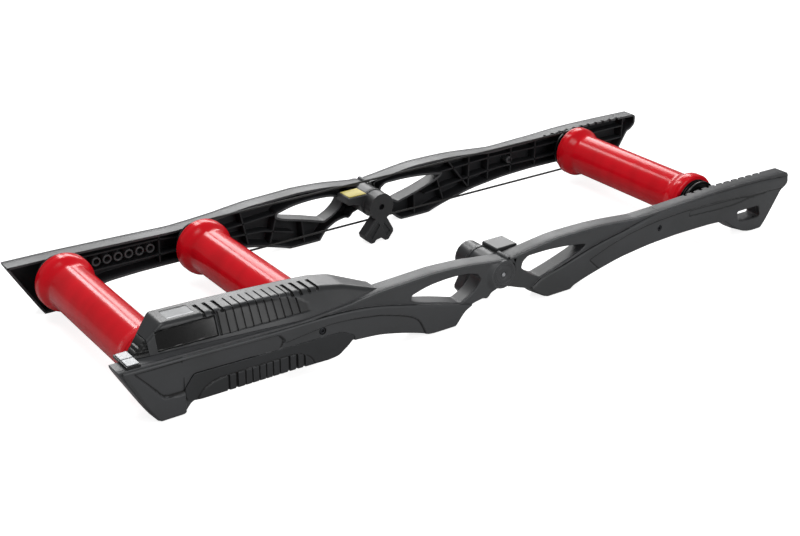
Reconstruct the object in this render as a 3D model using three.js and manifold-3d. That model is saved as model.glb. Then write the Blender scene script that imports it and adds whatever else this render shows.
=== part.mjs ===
// Folding bike rollers: three drums between two hinged side beams, with a resistance unit on the right rear
// beam. Millimetres. +X points to the front roller, +Y to the left side, +Z up. The floor is z = 0.
import * as THREE from 'three';
import { mergeVertices } from 'three/addons/utils/BufferGeometryUtils.js';
import Module from 'manifold-3d';

const wasm = await Module();
wasm.setup();

// Frame
const halfLength = 700;             // hinge hub to the tip of either beam half
const beamHeight = 100;             // height that the side views of the beams are drawn to
const outerFace = 230;              // middle plane to the outer face of a side beam
const beamWidth = 34;               // outer face of a beam to its open inner side
const rimWall = 4;                  // flange that runs round a beam half
const webWall = 4;                  // outer web of a beam half
const reliefStep = 5;               // how far the lower spar stands proud of the upper one
const edgeBevel = 3;                // bevel along the beam's outer edges
const ribWall = 2.6;                // stiffening ribs inside the beams
const ribSetback = 3;               // ribs end this far short of the open side
const honeycombInset = 73;          // rear roller to the first of the hollow posts beside it
const honeycombPitch = 20;
const honeycombCount = 6;
const honeycombRise = 2;            // roller axes to the posts' axes
const honeycombRadius = 8;
const rackScrewInset = 148;         // front roller to the screw behind it
const rackScrewDrop = 1;            // roller axes down to that screw
const rackPostRadius = 7;
const rackScrewGap = 2;             // open side to the tip of a rack screw

// Rollers
const axleDrop = 33;                // height of the side views down to the roller axes
const rearRollerInset = 90;         // rear tip to the rear roller
const rollerSpacing = 255;          // rear roller to the middle one
const frontRollerInset = 190;       // front tip to the front roller, at rest
const drumRadius = 40;
const flangeRadius = 49.2;          // guiding flange at each end of a drum
const capLength = 15;               // end of a drum to the outside of its end cap
const drumWall = 3;
const drumEdge = 3;                 // bevel at each end of a drum
const flareLength = 24;             // drum body rising into the guiding flange
const flangeBand = 16;              // straight band on top of the flange
const capRadius = 41.5;             // grooved end cap
const capGap = 13;                  // outside of an end cap to the open side of the beam
const capPlug = 22;                 // how far a cap reaches into its drum
const capGrooves = 2;
const capGrooveMargin = 1;          // drum end to the first groove
const capGroovePitch = 5.4;
const capGrooveDepth = 4;
const capDish = 7;                  // depth of the dished outside face
const capRing = 5;                  // width of the ring around the dish
const capHubRadius = 18;
const axleRoom = 2;                 // clear room round an axle inside a cap
const bearingRadius = 13;
const bearingWidth = 8;
const bearingRace = 3;              // width of the outer race
const sealDepth = 1;
const axleRadius = 5;
const axleEndGap = 0.3;             // end of an axle to the web beside it
const bossRadius = 12;              // axle boss inside a beam
const screwRadius = 3;
const screwHeadRadius = 5.6;
const screwHeadHeight = 3;
const screwSocketRadius = 2.4;
const screwSocketDepth = 2;
const screwDepth = 14;              // thread in the end of an axle
const screwTipGap = 2;
const beltRadius = 1.9;

// Hinge in the middle of each beam
const hubDrop = 30.5;               // height of the side views down to the hub's axis
const hubRadius = 27;               // round end of the rear beam half
const hubRingRadius = 22;           // solid round the hub pin
const hubFaceMargin = 2.2;          // rim to the raised face of the hub
const hubCapRadius = 19.5;
const hubCapDepth = 3;
const hubCapRim = 4;                // hub pin to the flat of a cap
const hubCapDish = 1.4;
const hubPinRadius = 3.7;
const hubPinChamfer = 1;
const hubPinHeadRadius = 5.4;
const hubPinHeadLength = 4.6;
const foldX = 13.5;                 // fold axis, on the hub's rim
const foldRise = 23.5;              // hub's axis up to the fold axis
const knuckleRadius = 4.5;
const knuckleCount = 3;
const foldPinRadius = 1.8;
const foldPinInset = 2.4;           // outer end of a fold pin below the beam's face
const foldBoreInset = 1.2;

// Centre supports
const supportLength = 67;           // open side of the beam to the inner end of a support
const supportTube = 26;
const supportBoreRoom = 0.6;        // clear room round the head of a hub pin
const supportBoreDepth = 8;
const supportCollarRadius = 27.2;
const supportCollarReach = 40;      // open side of the beam to the collar's inner end
const supportCollarWidth = 6;
const footDepth = 21;
const footEdge = 1.5;
const footPocket = 3;
const stepWidth = 40;
const stepGap = 4;                  // open side of the beam to the step
const stepDrop = 0.5;               // height of the side views down to the right step
const lowStepDrop = 9.5;// and down to the left one, which carries a plate
const stepRear = 58;                // hub axis to the rear end of the step
const stepFront = 13;
const stepEdge = 2;
const stepSide = 1;
const plateMargin = 4;              // edge of the step to the plate on it
const plateWall = 1;

// Sliding front axle
const trackBehind = 80;             // front roller at rest to the walls that end the track
const trackAhead = 164;
const trackRoomBelow = 1.7;         // block to the rail under it
const trackRoomAbove = 1.2;         // block to the rail over it
const trackWallRise = 5;            // top of the walls that end the track above the side view's height
const trackFoot = 35;               // lower end of the wall at the track's start
const blockHalfLength = 12;
const blockHalfHeight = 10;
const blockReach = 2;               // how far a block stands out of the open side
const blockBossRadius = 9;
const notchInset = 20;              // track's start to the first notch in the upper inner edge
const notchPitch = 20;
const notchCount = 11;
const notchWidth = 7;
const notchDepth = 5;
const notchHeight = 10;

// Resistance unit
const coverWall = 3.5;              // cover plate on the beam's outer face
const coverEdge = 1.5;
const coverGap = 2;                 // open side of the beam to the cover's inner end
const coverGrooveInset = 90;        // rear roller to the first groove
const coverGroovePitch = 11.5;
const coverGrooveCount = 11;
const coverGrooveWidth = 2.6;
const coverGrooveDepth = 1.4;
const coverGrooveTop = 52;
const hoodSink = 2;                 // height of the side views down to the hood's lower edge
const hoodRise = 41;                // lower edge of the hood to its top
const hoodReach = 49;               // open side of the beam to the hood's inner side
const hoodShoulder = 34;            // outer face of the beam to the upper edge of the hood's outer side
const hoodSkirtInset = 19;          // outer face of the beam to the hood at its seat, at the rear
const hoodFoot = 12;                // how far the hood reaches down beside the beam
const hoodWall = 3;
const hoodEdge = 4;
const hoodGroove = 1.6;
const hoodRecess = 0.8;             // flat place for a label
const hoodOverhang = 45;            // rear roller to the rear end of the hood
const hoodLength = 411;
const grilleLength = 23;            // rear end of the hood, a piece of its own
const wideGroovePitch = 15;
const wideGrooveWidth = 4.5;
const fineGroovePitch = 13.5;
const fineGrooveWidth = 2;
const sideRibWidth = 3;
const grooveMargin = 13;            // hood's inner side to the top grooves
const grooveSide = 8;               // upper edge of the hood's outer side to the side grooves
const grooveLand = 1.5;             // between the top grooves and the side ones
const finRise = 5;                  // lower edge of the hood to the first fin
const finNotch = 0.4;               // last fin above the edge where the grille ends
const finCount = 5;
const finWidth = 1.8;
const drumRoom = 3;                 // clear room round a drum under the hood
const trayInset = 23;               // tip of the beam to the tray
const trayEndGap = 0.4;             // tray to the hood
const trayMargin = 4;               // outer face of the beam to the tray
const trayWidth = 46;
const trayLift = 0.4;               // lower edge of the hood up to the tray
const trayWall = 4.2;
const padInset = 1.8;               // ends of the tray to the pads
const padMargin = 2;                // edges of the tray to the pads, and between the pads
const padWall = 1.2;
const discRadius = 44;              // eddy-current disc on the rear roller
const discBore = 15;
const discWall = 3;
const discGap = 1.2;                // disc to the magnet carriage
const carriageHalfWidth = 15;
const carriageGap = 3.5;            // open side of the beam to the carriage
const carriageFootRise = 17;        // roller axes up to the foot of the carriage
const carriageRise = 43;            // roller axes up to its top
const carriageArch = 24;            // round opening over the axle boss
const magnetSpacing = 16;
const magnetRadius = 5;
const magnetRise = 34;              // roller axes up to the magnets' axes
const railWall = 3;
const railRise = 17;                // lower edge of the hood to the top of the rails
const railSetback = 1;
const guideFootReach = 3;           // open side of the beam to the edge of the guide's foot
const guideFootRise = 2.5;          // lower edge of the hood to the top of that foot
const motorInset = 22;              // rear roller to the motor
const motorLength = 36;
const motorRadius = 9;
const motorDrop = 18;               // top of the hood down to the motor's axis
const motorGap = 10;                // open side of the beam to the motor's axis
const motorBracketLength = 16;
const motorBracketWidth = 9;
const boardInset = 74;              // rear roller to the board
const boardLength = 96;
const boardGap = 6;                 // open side of the beam to the board
const boardWidth = 32;
const boardDrop = 23;               // top of the hood down to the board
const boardWall = 1.6;
const boardPost = 6;
const boardPostInset = 8;
const chipHeight = 3;
const smallChip = 14;
const largeChip = 20;

// Clearances, cuts and facets
const fit = 0.3;                    // gap between pieces that touch
const overrun = 6;                  // cutters run this far past what they cut
const weld = 1e-4;                  // corners closer than this are one
const mitreLimitShare = 0.35;
const drumSides = 24;
const capSides = 12;
const hubSides = 18;
const bearingSides = 10;
const smallSides = 8;
const screwSides = 6;
const beltSides = 6;
const beltSteps = 8;                // in each half turn of the belt

// Places that follow from the sizes above
const innerFace = outerFace - beamWidth;
const axleHeight = beamHeight - axleDrop;
const honeycombHeight = axleHeight + honeycombRise;
const rackScrewHeight = axleHeight - rackScrewDrop;
const capEnd = innerFace - capGap;
const drumHalfLength = capEnd - capLength;
const axleInset = reliefStep + webWall + axleEndGap;
const hubHeight = beamHeight - hubDrop;
const foldZ = hubHeight + foldRise;
const supportInner = innerFace - supportLength;
const supportBore = hubPinHeadRadius + supportBoreRoom;
const supportCollarStart = innerFace - supportCollarReach;
const supportCollarEnd = supportCollarStart + supportCollarWidth;
const stepOuter = innerFace - stepGap;
const stepInner = stepOuter - stepWidth;
const stepTop = beamHeight - stepDrop;
const lowStepTop = beamHeight - lowStepDrop;
const trackHeight = axleHeight - blockHalfHeight - trackRoomBelow - ribWall / 2;
const trackTop = axleHeight + blockHalfHeight + trackRoomAbove + ribWall / 2;
const trackWallTop = beamHeight + trackWallRise;
const hoodSeat = beamHeight - hoodSink;
const hoodTop = hoodSeat + hoodRise;
const hoodInner = innerFace - hoodReach;
const hoodOuter = outerFace - hoodShoulder;
const hoodSkirt = outerFace - hoodSkirtInset;
const grooveInner = hoodInner + grooveMargin;
const grooveOuter = hoodOuter + grooveSide;
const finStart = hoodSeat + finRise;
const trayLength = rearRollerInset - hoodOverhang - trayEndGap - trayInset;
const trayOuter = outerFace - trayMargin;
const trayInner = trayOuter - trayWidth;
const trayBottom = hoodSeat + trayLift;
const trayTop = trayBottom + trayWall;
const padLength = trayLength - 2 * padInset;
const carriageBack = innerFace - carriageGap;
const carriageFoot = axleHeight + carriageFootRise;
const carriageTop = axleHeight + carriageRise;
const magnetHeight = axleHeight + magnetRise;
const railFoot = hoodSeat;
const railTop = railFoot + railRise;
const guideFootOuter = innerFace + guideFootReach;
const guideFootTop = hoodSeat + guideFootRise;
const motorHeight = hoodTop - motorDrop;
const motorSide = innerFace - motorGap;
const boardOuter = innerFace - boardGap;
const boardInner = boardOuter - boardWidth;
const boardHeight = hoodTop - boardDrop;

const finish = {
  drum: new THREE.MeshStandardMaterial({ color: 0xc01820, roughness: 0.3, metalness: 0 }),
  beam: new THREE.MeshStandardMaterial({ color: 0x34363a, roughness: 0.6, metalness: 0 }),
  hood: new THREE.MeshStandardMaterial({ color: 0x2c2e31, roughness: 0.55, metalness: 0 }),
  black: new THREE.MeshStandardMaterial({ color: 0x17181a, roughness: 0.5, metalness: 0 }),
  steel: new THREE.MeshStandardMaterial({ color: 0xb4b7bb, roughness: 0.3, metalness: 1 }),
  aluminium: new THREE.MeshStandardMaterial({ color: 0xc8cacc, roughness: 0.35, metalness: 1 }),
  rubber: new THREE.MeshStandardMaterial({ color: 0x101010, roughness: 0.9, metalness: 0 }),
  pale: new THREE.MeshStandardMaterial({ color: 0xc9cccf, roughness: 0.4, metalness: 0 }),
  yellow: new THREE.MeshStandardMaterial({ color: 0xd9c531, roughness: 0.5, metalness: 0 }),
  green: new THREE.MeshStandardMaterial({ color: 0x1f5a34, roughness: 0.5, metalness: 0 }),
};

// Solids: closed meshes in and out of the boolean library

function welded(geometry) {
  const bare = geometry.clone();
  bare.deleteAttribute('normal');
  bare.deleteAttribute('uv');
  return mergeVertices(bare, weld);
}

function solid(geometry) {
  const merged = welded(geometry);
  return new wasm.Manifold(new wasm.Mesh({
    numProp: 3,
    vertProperties: new Float32Array(merged.attributes.position.array),
    triVerts: new Uint32Array(merged.index.array),
  }));
}

function geometryOf(body) {
  const mesh = body.getMesh();
  const geometry = new THREE.BufferGeometry();
  geometry.setAttribute('position', new THREE.BufferAttribute(new Float32Array(mesh.vertProperties), 3));
  geometry.setIndex(new THREE.BufferAttribute(new Uint32Array(mesh.triVerts), 1));
  return geometry;
}

function join(...bodies) {
  return bodies.flat().reduce((sum, body) => sum.add(body));
}

function cut(body, ...tools) {
  return tools.flat().reduce((rest, tool) => rest.subtract(tool), body);
}

function outward(positions, faces) {
  let volume = 0;
  const corner = (i) => new THREE.Vector3(...positions.slice(3 * i, 3 * i + 3));
  for (let f = 0; f < faces.length; f += 3) {
    volume += corner(faces[f]).dot(corner(faces[f + 1]).cross(corner(faces[f + 2])));
  }
  if (volume < 0) faces.reverse();
  const geometry = new THREE.BufferGeometry();
  geometry.setAttribute('position', new THREE.Float32BufferAttribute(positions, 3));
  geometry.setIndex(faces);
  return geometry;
}

// The two coordinates in which a flat ring spreads most
function flatten(ring, point) {
  const spans = [0, 1, 2].map((k) => {
    const values = ring.map((p) => p[k]);
    return Math.max(...values) - Math.min(...values);
  });
  const dropped = spans.indexOf(Math.min(...spans));
  return point.filter((value, k) => k !== dropped);
}

// Rings of equal length, joined in order and closed with two flat ends cut up as the base ring is
function skin(rings, base = rings[0]) {
  const count = rings[0].length;
  const positions = rings.flat(2);
  const faces = [];
  for (let r = 0; r + 1 < rings.length; r += 1) {
    for (let i = 0; i < count; i += 1) {
      const a = r * count + i;
      const b = r * count + (i + 1) % count;
      faces.push(a, b, b + count, a, b + count, a + count);
    }
  }
  const flat = base.map((p) => new THREE.Vector2(...flatten(base, p)));
  const ringTurn = Math.sign(THREE.ShapeUtils.area(flat));
  for (const corners of THREE.ShapeUtils.triangulateShape(flat, [])) {
    const turn = Math.sign(THREE.ShapeUtils.area(corners.map((i) => flat[i]))) * ringTurn;
    const ordered = turn > 0 ? corners : [...corners].reverse();
    const last = (rings.length - 1) * count;
    faces.push(...[...ordered].reverse(), ...ordered.map((i) => last + i));
  }
  return outward(positions, faces);
}

// A side-view outline of [x, z] points moved inwards by a distance; a negative distance moves it out
function inset(outline, distance) {
  const turn = THREE.ShapeUtils.isClockWise(outline.map((p) => new THREE.Vector2(...p))) ? -1 : 1;
  return outline.map((point, i) => {
    const before = outline[(i + outline.length - 1) % outline.length];
    const after = outline[(i + 1) % outline.length];
    const u = new THREE.Vector2(point[0] - before[0], point[1] - before[1]).normalize();
    const v = new THREE.Vector2(after[0] - point[0], after[1] - point[1]).normalize();
    const normal = new THREE.Vector2(-u.y - v.y, u.x + v.x).multiplyScalar(turn);
    const scale = distance / Math.max(mitreLimitShare, 1 + u.dot(v));
    return [point[0] + normal.x * scale, point[1] + normal.y * scale];
  });
}

// A side-view outline carried across the width; levels are [y, inset] pairs
function prism(outline, levels) {
  const rings = levels.map(([y, step]) => inset(outline, step).map(([x, z]) => [x, y, z]));
  return solid(skin(rings, outline.map(([x, z]) => [x, 0, z])));
}

function bar(x0, x1, y0, y1, z0, z1) {
  const geometry = new THREE.BoxGeometry(x1 - x0, y1 - y0, z1 - z0);
  geometry.translate((x0 + x1) / 2, (y0 + y1) / 2, (z0 + z1) / 2);
  return solid(geometry);
}

// A round bar across the width
function rod(x, z, radius, y0, y1, sides) {
  const geometry = new THREE.CylinderGeometry(radius, radius, y1 - y0, sides);
  geometry.translate(0, (y0 + y1) / 2, 0);
  geometry.rotateY(Math.PI / sides);
  geometry.translate(x, 0, z);
  return solid(geometry);
}

// The corner radius of a faceted bore whose flats clear a round shaft of the given radius
function around(radius, sides) {
  return radius / Math.cos(Math.PI / sides);
}

function bore(x, z, radius, y0, y1, sides) {
  return rod(x, z, around(radius, sides), y0, y1, sides);
}

// A turned piece across the width; the profile is [radius, y] points that start and end on the axis or close
function turned(x, z, profile, sides) {
  const points = profile.map(([radius, y]) => new THREE.Vector2(radius, y));
  const geometry = new THREE.LatheGeometry(points, sides);
  geometry.translate(x, 0, z);
  const merged = welded(geometry);
  const index = Array.from(merged.index.array);
  const faces = [];
  for (let f = 0; f < index.length; f += 3) {
    const [a, b, c] = index.slice(f, f + 3);
    if (a !== b && b !== c && c !== a) faces.push(a, b, c);
  }
  return outward(Array.from(merged.attributes.position.array), faces);
}

// The same piece on the other side of the middle plane
function mirrored(geometry) {
  const copy = geometry.clone();
  copy.scale(1, -1, 1);
  copy.setIndex(Array.from(copy.index.array).reverse());
  return copy;
}

// A thin wall along a side-view line
function rib(points, y0, y1, wall) {
  return points.slice(1).map((end, i) => {
    const start = points[i];
    const along = new THREE.Vector2(end[0] - start[0], end[1] - start[1]).setLength(wall / 2);
    const across = new THREE.Vector2(-along.y, along.x);
    const corners = [
      [start[0] - along.x - across.x, start[1] - along.y - across.y],
      [end[0] + along.x - across.x, end[1] + along.y - across.y],
      [end[0] + along.x + across.x, end[1] + along.y + across.y],
      [start[0] - along.x + across.x, start[1] - along.y + across.y],
    ];
    return prism(corners, [[y0, 0], [y1, 0]]);
  });
}

function arc(x, z, radius, from, to, steps) {
  return Array.from({ length: steps + 1 }, (_, i) => {
    const angle = THREE.MathUtils.degToRad(from + (to - from) * i / steps);
    return [x + radius * Math.cos(angle), z + radius * Math.sin(angle)];
  });
}

// Side-view points from shares of a width and a height
function scaled(shares, width, height) {
  return shares.map(([along, up]) => [along * width, up * height]);
}

function beamView(shares) {
  return scaled(shares, halfLength, beamHeight);
}

const group = new THREE.Group();

function add(name, geometry, material) {
  const mesh = new THREE.Mesh(geometry, material);
  mesh.name = name;
  group.add(mesh);
}

function pair(name, geometry, material) {
  add(`${name}_left`, geometry, material);
  add(`${name}_right`, mirrored(geometry), material);
}

// Places that several pieces share
const rearRollerX = rearRollerInset - halfLength;
const middleRollerX = rearRollerX + rollerSpacing;
const frontRollerX = halfLength - frontRollerInset;
const axleHalfLength = outerFace - axleInset;
const trackStart = frontRollerX - trackBehind;
const trackEnd = frontRollerX + trackAhead;
const rackScrewX = frontRollerX - rackScrewInset;

// Side beams. Outlines are side views of the left beam; each half is an open-backed moulding.

// Top edge next to the fold, in knuckle radii from the fold axis
const rearSeamShares = [1.11, 0.11];
const frontSeamShares = [1.78, 0.2];
const farSeamShares = [7.33, 0.844];

function seam([along, up], direction) {
  return [foldX + direction * along * knuckleRadius, foldZ + up * knuckleRadius];
}

const rearLowerShares = [
  [-0.9886, 0.99], [-0.9857, 0.93], [-0.9243, 0.19], [-0.9057, 0], [-0.8457, 0], [-0.8286, 0.14],
  [-0.7557, 0.33], [-0.6586, 0.36], [-0.5543, 0.36], [-0.4429, 0.34], [-0.3543, 0.29], [-0.2886, 0.18],
  [-0.2329, 0.06], [-0.2171, 0], [-0.1371, 0], [-0.1257, 0.11], [-0.1114, 0.23], [-0.0829, 0.31],
  [-0.0543, 0.34], [-0.0429, 0.31], [-0.0357, 0.35], [-0.03, 0.4],
];
const rearUpperShares = [
  [-0.09, 0.99], [-0.2, 1.005], [-0.3429, 0.98], [-0.4286, 0.93], [-0.5571, 0.915], [-0.6714, 0.94],
  [-0.8571, 0.975],
];
const rearOutline = [
  ...beamView(rearLowerShares), ...arc(0, hubHeight, hubRadius, -108, 48, 11),
  seam(rearSeamShares, -1), seam(farSeamShares, -1), ...beamView(rearUpperShares),
];
const rearWindowShares = [
  [-0.2629, 0.79], [-0.2186, 0.875], [-0.1571, 0.905], [-0.1029, 0.885], [-0.0743, 0.82], [-0.0629, 0.71],
  [-0.0729, 0.59], [-0.0943, 0.47], [-0.1214, 0.385], [-0.1886, 0.53], [-0.2471, 0.63], [-0.2671, 0.7],
];
// The lower spar runs from the tip down to the middle foot and stands proud of the upper one
const rearSparShares = [
  [-0.9814, 0.965], [-0.9243, 0.215], [-0.9043, 0.01], [-0.8471, 0.01], [-0.8286, 0.15], [-0.7557, 0.34],
  [-0.6586, 0.37], [-0.5543, 0.37], [-0.4429, 0.35], [-0.3543, 0.3], [-0.2886, 0.19], [-0.2329, 0.07],
  [-0.2157, 0.01], [-0.1386, 0.01], [-0.1271, 0.11], [-0.1129, 0.23], [-0.0886, 0.31], [-0.0957, 0.46],
  [-0.1229, 0.37], [-0.1886, 0.5], [-0.2471, 0.6], [-0.3029, 0.67], [-0.4114, 0.82], [-0.5157, 0.855],
  [-0.5914, 0.88], [-0.7129, 0.905], [-0.8571, 0.94],
];
const frontUnderShares = [
  [0.0514, 0.34], [0.09, 0.25], [0.11, 0.12], [0.1414, 0], [0.22, 0], [0.23, 0.06], [0.2857, 0.17],
  [0.38, 0.31], [0.4843, 0.39], [0.5929, 0.42], [0.7143, 0.41], [0.7714, 0.37], [0.8, 0.21],
  [0.8229, 0.12], [0.8586, 0], [0.9143, 0], [0.9343, 0.17], [0.9829, 0.7], [0.9971, 0.73], [1.0114, 0.82],
  [1.0114, 0.94], [1.0043, 0.99], [0.8643, 1.01], [0.7, 1.02], [0.6143, 0.99], [0.4771, 0.96], [0.2971, 0.97], [0.1257, 0.985],
];
const frontOutline = [
  seam(frontSeamShares, 1), ...arc(0, hubHeight, hubRadius + fit, 36, -66, 9), ...beamView(frontUnderShares),
  seam(farSeamShares, 1),
];
const frontWindowShares = [
  [0.06, 0.69], [0.0643, 0.8], [0.08, 0.875], [0.1414, 0.88], [0.2114, 0.84], [0.2671, 0.77],
  [0.2543, 0.68], [0.1771, 0.51], [0.12, 0.41], [0.0886, 0.52],
];
const frontSparShares = [
  [0.09, 0.26], [0.1114, 0.13], [0.1429, 0.01], [0.2186, 0.01], [0.2286, 0.07], [0.2857, 0.18],
  [0.38, 0.32], [0.4843, 0.4], [0.5929, 0.43], [0.7143, 0.42], [0.7714, 0.38], [0.8014, 0.22],
  [0.8243, 0.13], [0.86, 0.01], [0.9129, 0.01], [0.9329, 0.17], [0.9814, 0.69], [0.9957, 0.74],
  [1.0071, 0.82], [1.0043, 0.9], [0.81, 0.91], [0.6571, 0.92], [0.5129, 0.875], [0.4429, 0.86], [0.3757, 0.75],
  [0.2743, 0.65], [0.1786, 0.48], [0.1186, 0.36],
];
const handleShares = [
  [0.8114, 0.5], [0.82, 0.29], [0.8629, 0.26], [0.9057, 0.26], [0.8957, 0.5],
];
const rearRibShares = [
  [[-0.8214, 0.84], [-0.6, 0.82], [-0.4286, 0.68], [-0.2629, 0.75]],
  [[-0.8214, 0.54], [-0.6, 0.53], [-0.4286, 0.52], [-0.3029, 0.47], [-0.2143, 0.3]],
  [[-0.9143, 0.95], [-0.8214, 0.84], [-0.8214, 0.54], [-0.9143, 0.3]],
  [[-0.6, 0.98], [-0.6, 0.3]],
  [[-0.4429, 0.98], [-0.4143, 0.25]],
  [[-0.3743, 1.05], [-0.3429, 0.2]],
  [[-0.2629, 0.75], [-0.2929, 0.12]],
  [[-0.1886, 0.5], [-0.1786, -0.05]],
  [[-0.0429, 0.8], [-0.0571, 1.05]],
];
const frontRibShares = [
  [[0.2543, 0.68], [0.28, 0.1]],
  [[0.2929, 1], [0.3686, 0.2]],
  [[0.3686, 1], [0.3686, 0.25]],
  [[0.4386, 1], [0.4386, 0.3]],
  [[0.5229, 1], [0.5229, 0.35]],
  [[0.1771, 0.51], [0.18, -0.05]],
];
// Two ribs that run on to the wall at the track's start
const upperRibShares = [[0.2671, 0.77], [0.4429, 0.82]];
const lowerRibShares = [[0.2143, 0.4], [0.3571, 0.5], [0.4714, 0.56]];
const trackRibs = [
  [...beamView(upperRibShares), [trackStart, trackTop]],
  [...beamView(lowerRibShares), [trackStart, trackHeight]],
  [[trackStart, trackWallTop], [trackStart, trackFoot]],
  [[trackStart, trackHeight], [trackEnd, trackHeight]],
  [[trackStart, trackTop], [trackEnd, trackTop]],
  [[trackEnd, trackWallTop], [trackEnd, trackHeight]],
];
// Neck that carries the front half's knuckle, in knuckle radii from the fold axis
const neckShares = [[0.4, -0.778], [3.11, -2.667], [4, 0.356], [0.667, 0.067]];
const webInside = outerFace - reliefStep - webWall;
const openSide = innerFace - overrun;

// Everything that stays when the pocket is cut: window rims, ribs and bosses
function beamHalf(outline, windows, spar, ribs, bosses) {
  const outer = prism(outline, [[innerFace, 0], [outerFace - reliefStep, 0]]);
  const proud = prism(spar, [[webInside, 0], [outerFace - edgeBevel, 0], [outerFace, edgeBevel]]);
  const rims = windows.map((w) => prism(w, [[openSide - overrun, -rimWall], [outerFace, -rimWall]]));
  const walls = ribs.flatMap((line) => rib(line, innerFace + ribSetback, outerFace, ribWall));
  const pocket = cut(prism(outline, [[openSide, rimWall], [webInside, rimWall]]), rims, walls, bosses);
  const holes = windows.map((w) => prism(w, [[openSide - overrun, 0], [outerFace + overrun, 0]]));
  return cut(join(outer, proud), pocket, holes);
}

function hollowPost(x, z, radius, hollow) {
  const post = rod(x, z, radius, innerFace + ribSetback, outerFace - reliefStep, screwSides);
  return cut(post, rod(x, z, hollow, openSide, webInside, screwSides));
}

// Knuckles of the fold hinge share the beam's depth between the two halves
const knucklePitch = (outerFace - reliefStep - innerFace) / knuckleCount;

function knuckles(parity, radius, gap) {
  const picks = Array.from({ length: knuckleCount }, (_, i) => i).filter((i) => i % 2 === parity);
  return picks.map((i) => rod(foldX, foldZ, radius, innerFace + i * knucklePitch + gap,
    innerFace + (i + 1) * knucklePitch - gap, smallSides));
}

function knuckleRoom(parity) {
  return knuckles(parity, around(knuckleRadius + fit, smallSides), -fit / 2);
}

function foldBore() {
  const end = outerFace - reliefStep - foldBoreInset;
  return bore(foldX, foldZ, foldPinRadius + fit, openSide, end, screwSides);
}

function screwBore(x, z, start) {
  return [
    bore(x, z, screwRadius + fit, start, outerFace + overrun, screwSides),
    bore(x, z, screwHeadRadius + fit, outerFace - screwHeadHeight, outerFace + overrun, smallSides),
  ];
}

function axleSocket(x) {
  return [bore(x, axleHeight, axleRadius + fit, capEnd - overrun, axleHalfLength + fit, smallSides)];
}

function screwedSocket(x) {
  return [...axleSocket(x), ...screwBore(x, axleHeight, axleHalfLength - overrun)];
}

function axleBoss(x, socket) {
  const proud = rod(x, axleHeight, bossRadius, capEnd + fit, outerFace - reliefStep, smallSides);
  return cut(proud, socket);
}

// The rear axle is screwed on the left; its right end sits in a blind socket behind a whole outer face
function rearBeam(rearSocket) {
  const middleSocket = screwedSocket(middleRollerX);
  const ring = rod(0, hubHeight, hubRingRadius, innerFace, outerFace, hubSides);
  const honeycomb = Array.from({ length: honeycombCount }, (_, i) => {
    const x = rearRollerX + honeycombInset + i * honeycombPitch;
    return hollowPost(x, honeycombHeight, honeycombRadius, honeycombRadius - ribWall);
  });
  const bosses = [rearRollerX, middleRollerX].map((x) => rod(x, axleHeight, bossRadius, openSide, outerFace,
    smallSides));
  let body = beamHalf(rearOutline, [beamView(rearWindowShares)], beamView(rearSparShares),
    rearRibShares.map(beamView), [ring, ...honeycomb, ...bosses]);
  const hubFace = rod(0, hubHeight, hubRadius - hubFaceMargin, webInside, outerFace, hubSides);
  body = join(body, hubFace, knuckles(0, knuckleRadius, fit / 2));
  body = join(cut(body, knuckleRoom(1)), axleBoss(rearRollerX, rearSocket),
    axleBoss(middleRollerX, middleSocket));
  return cut(body, foldBore(),
    bore(0, hubHeight, hubPinRadius + fit, openSide, outerFace + overrun, smallSides),
    bore(0, hubHeight, hubCapRadius + fit, outerFace - hubCapDepth, outerFace + overrun, hubSides),
    rearSocket, middleSocket);
}

function frontBeam() {
  const neckOutline = neckShares.map((point) => seam(point, 1));
  const neck = prism(neckOutline, [[innerFace, 0], [outerFace - reliefStep, 0]]);
  const screwPost = rod(rackScrewX, rackScrewHeight, rackPostRadius, openSide, outerFace, smallSides);
  const windows = [frontWindowShares, handleShares].map(beamView);
  const ribs = [...frontRibShares.map(beamView), ...trackRibs];
  let body = beamHalf(frontOutline, windows, beamView(frontSparShares), ribs, [screwPost]);
  body = cut(join(body, neck), bore(0, hubHeight, hubRadius + fit, openSide, outerFace + overrun, hubSides),
    knuckleRoom(0));
  body = join(body, knuckles(1, knuckleRadius, fit / 2));
  const notches = Array.from({ length: notchCount }, (_, i) => {
    const x = trackStart + notchInset + i * notchPitch;
    return bar(x - notchWidth / 2, x + notchWidth / 2, openSide, innerFace + notchDepth,
      beamHeight - notchHeight, beamHeight + overrun);
  });
  return cut(body, notches, foldBore(), screwBore(rackScrewX, rackScrewHeight, openSide));
}

const rearBeamBody = rearBeam(screwedSocket(rearRollerX));
const blindRearBeam = rearBeam(axleSocket(rearRollerX));
const frontBeamBody = geometryOf(frontBeam());

// Lower cover of the resistance unit, on the right side only (modelled on the left and mirrored)
const coverShares = [
  [-0.8457, 0.597], [-0.84, 0.2985], [-0.8086, 0.2537], [-0.5771, 0.2388], [-0.4914, 0.209],
  [-0.4657, 0.2388], [-0.4371, 0.4478], [-0.42, 0.6269], [-0.4571, 0.8358], [-0.7143, 0.8955],
  [-0.8214, 0.9254],
];
const coverOutline = scaled(coverShares, halfLength, axleHeight);
const coverSeat = outerFace - coverWall;

function lowerCover() {
  const rounded = [[outerFace - coverEdge, 0], [outerFace, coverEdge]];
  const face = prism(coverOutline, [[coverSeat + fit, 0], ...rounded]);
  const belly = prism(coverOutline, [[innerFace + coverGap, 0], ...rounded]);
  const beamRoom = prism(inset(rearOutline, -fit), [[openSide, 0], [outerFace + overrun, 0]]);
  const grooves = Array.from({ length: coverGrooveCount }, (_, i) => {
    const x = rearRollerX + coverGrooveInset + i * coverGroovePitch;
    return bar(x, x + coverGrooveWidth, outerFace - coverGrooveDepth, outerFace + overrun, 0, coverGrooveTop);
  });
  return cut(join(cut(belly, beamRoom), face), grooves);
}

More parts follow.
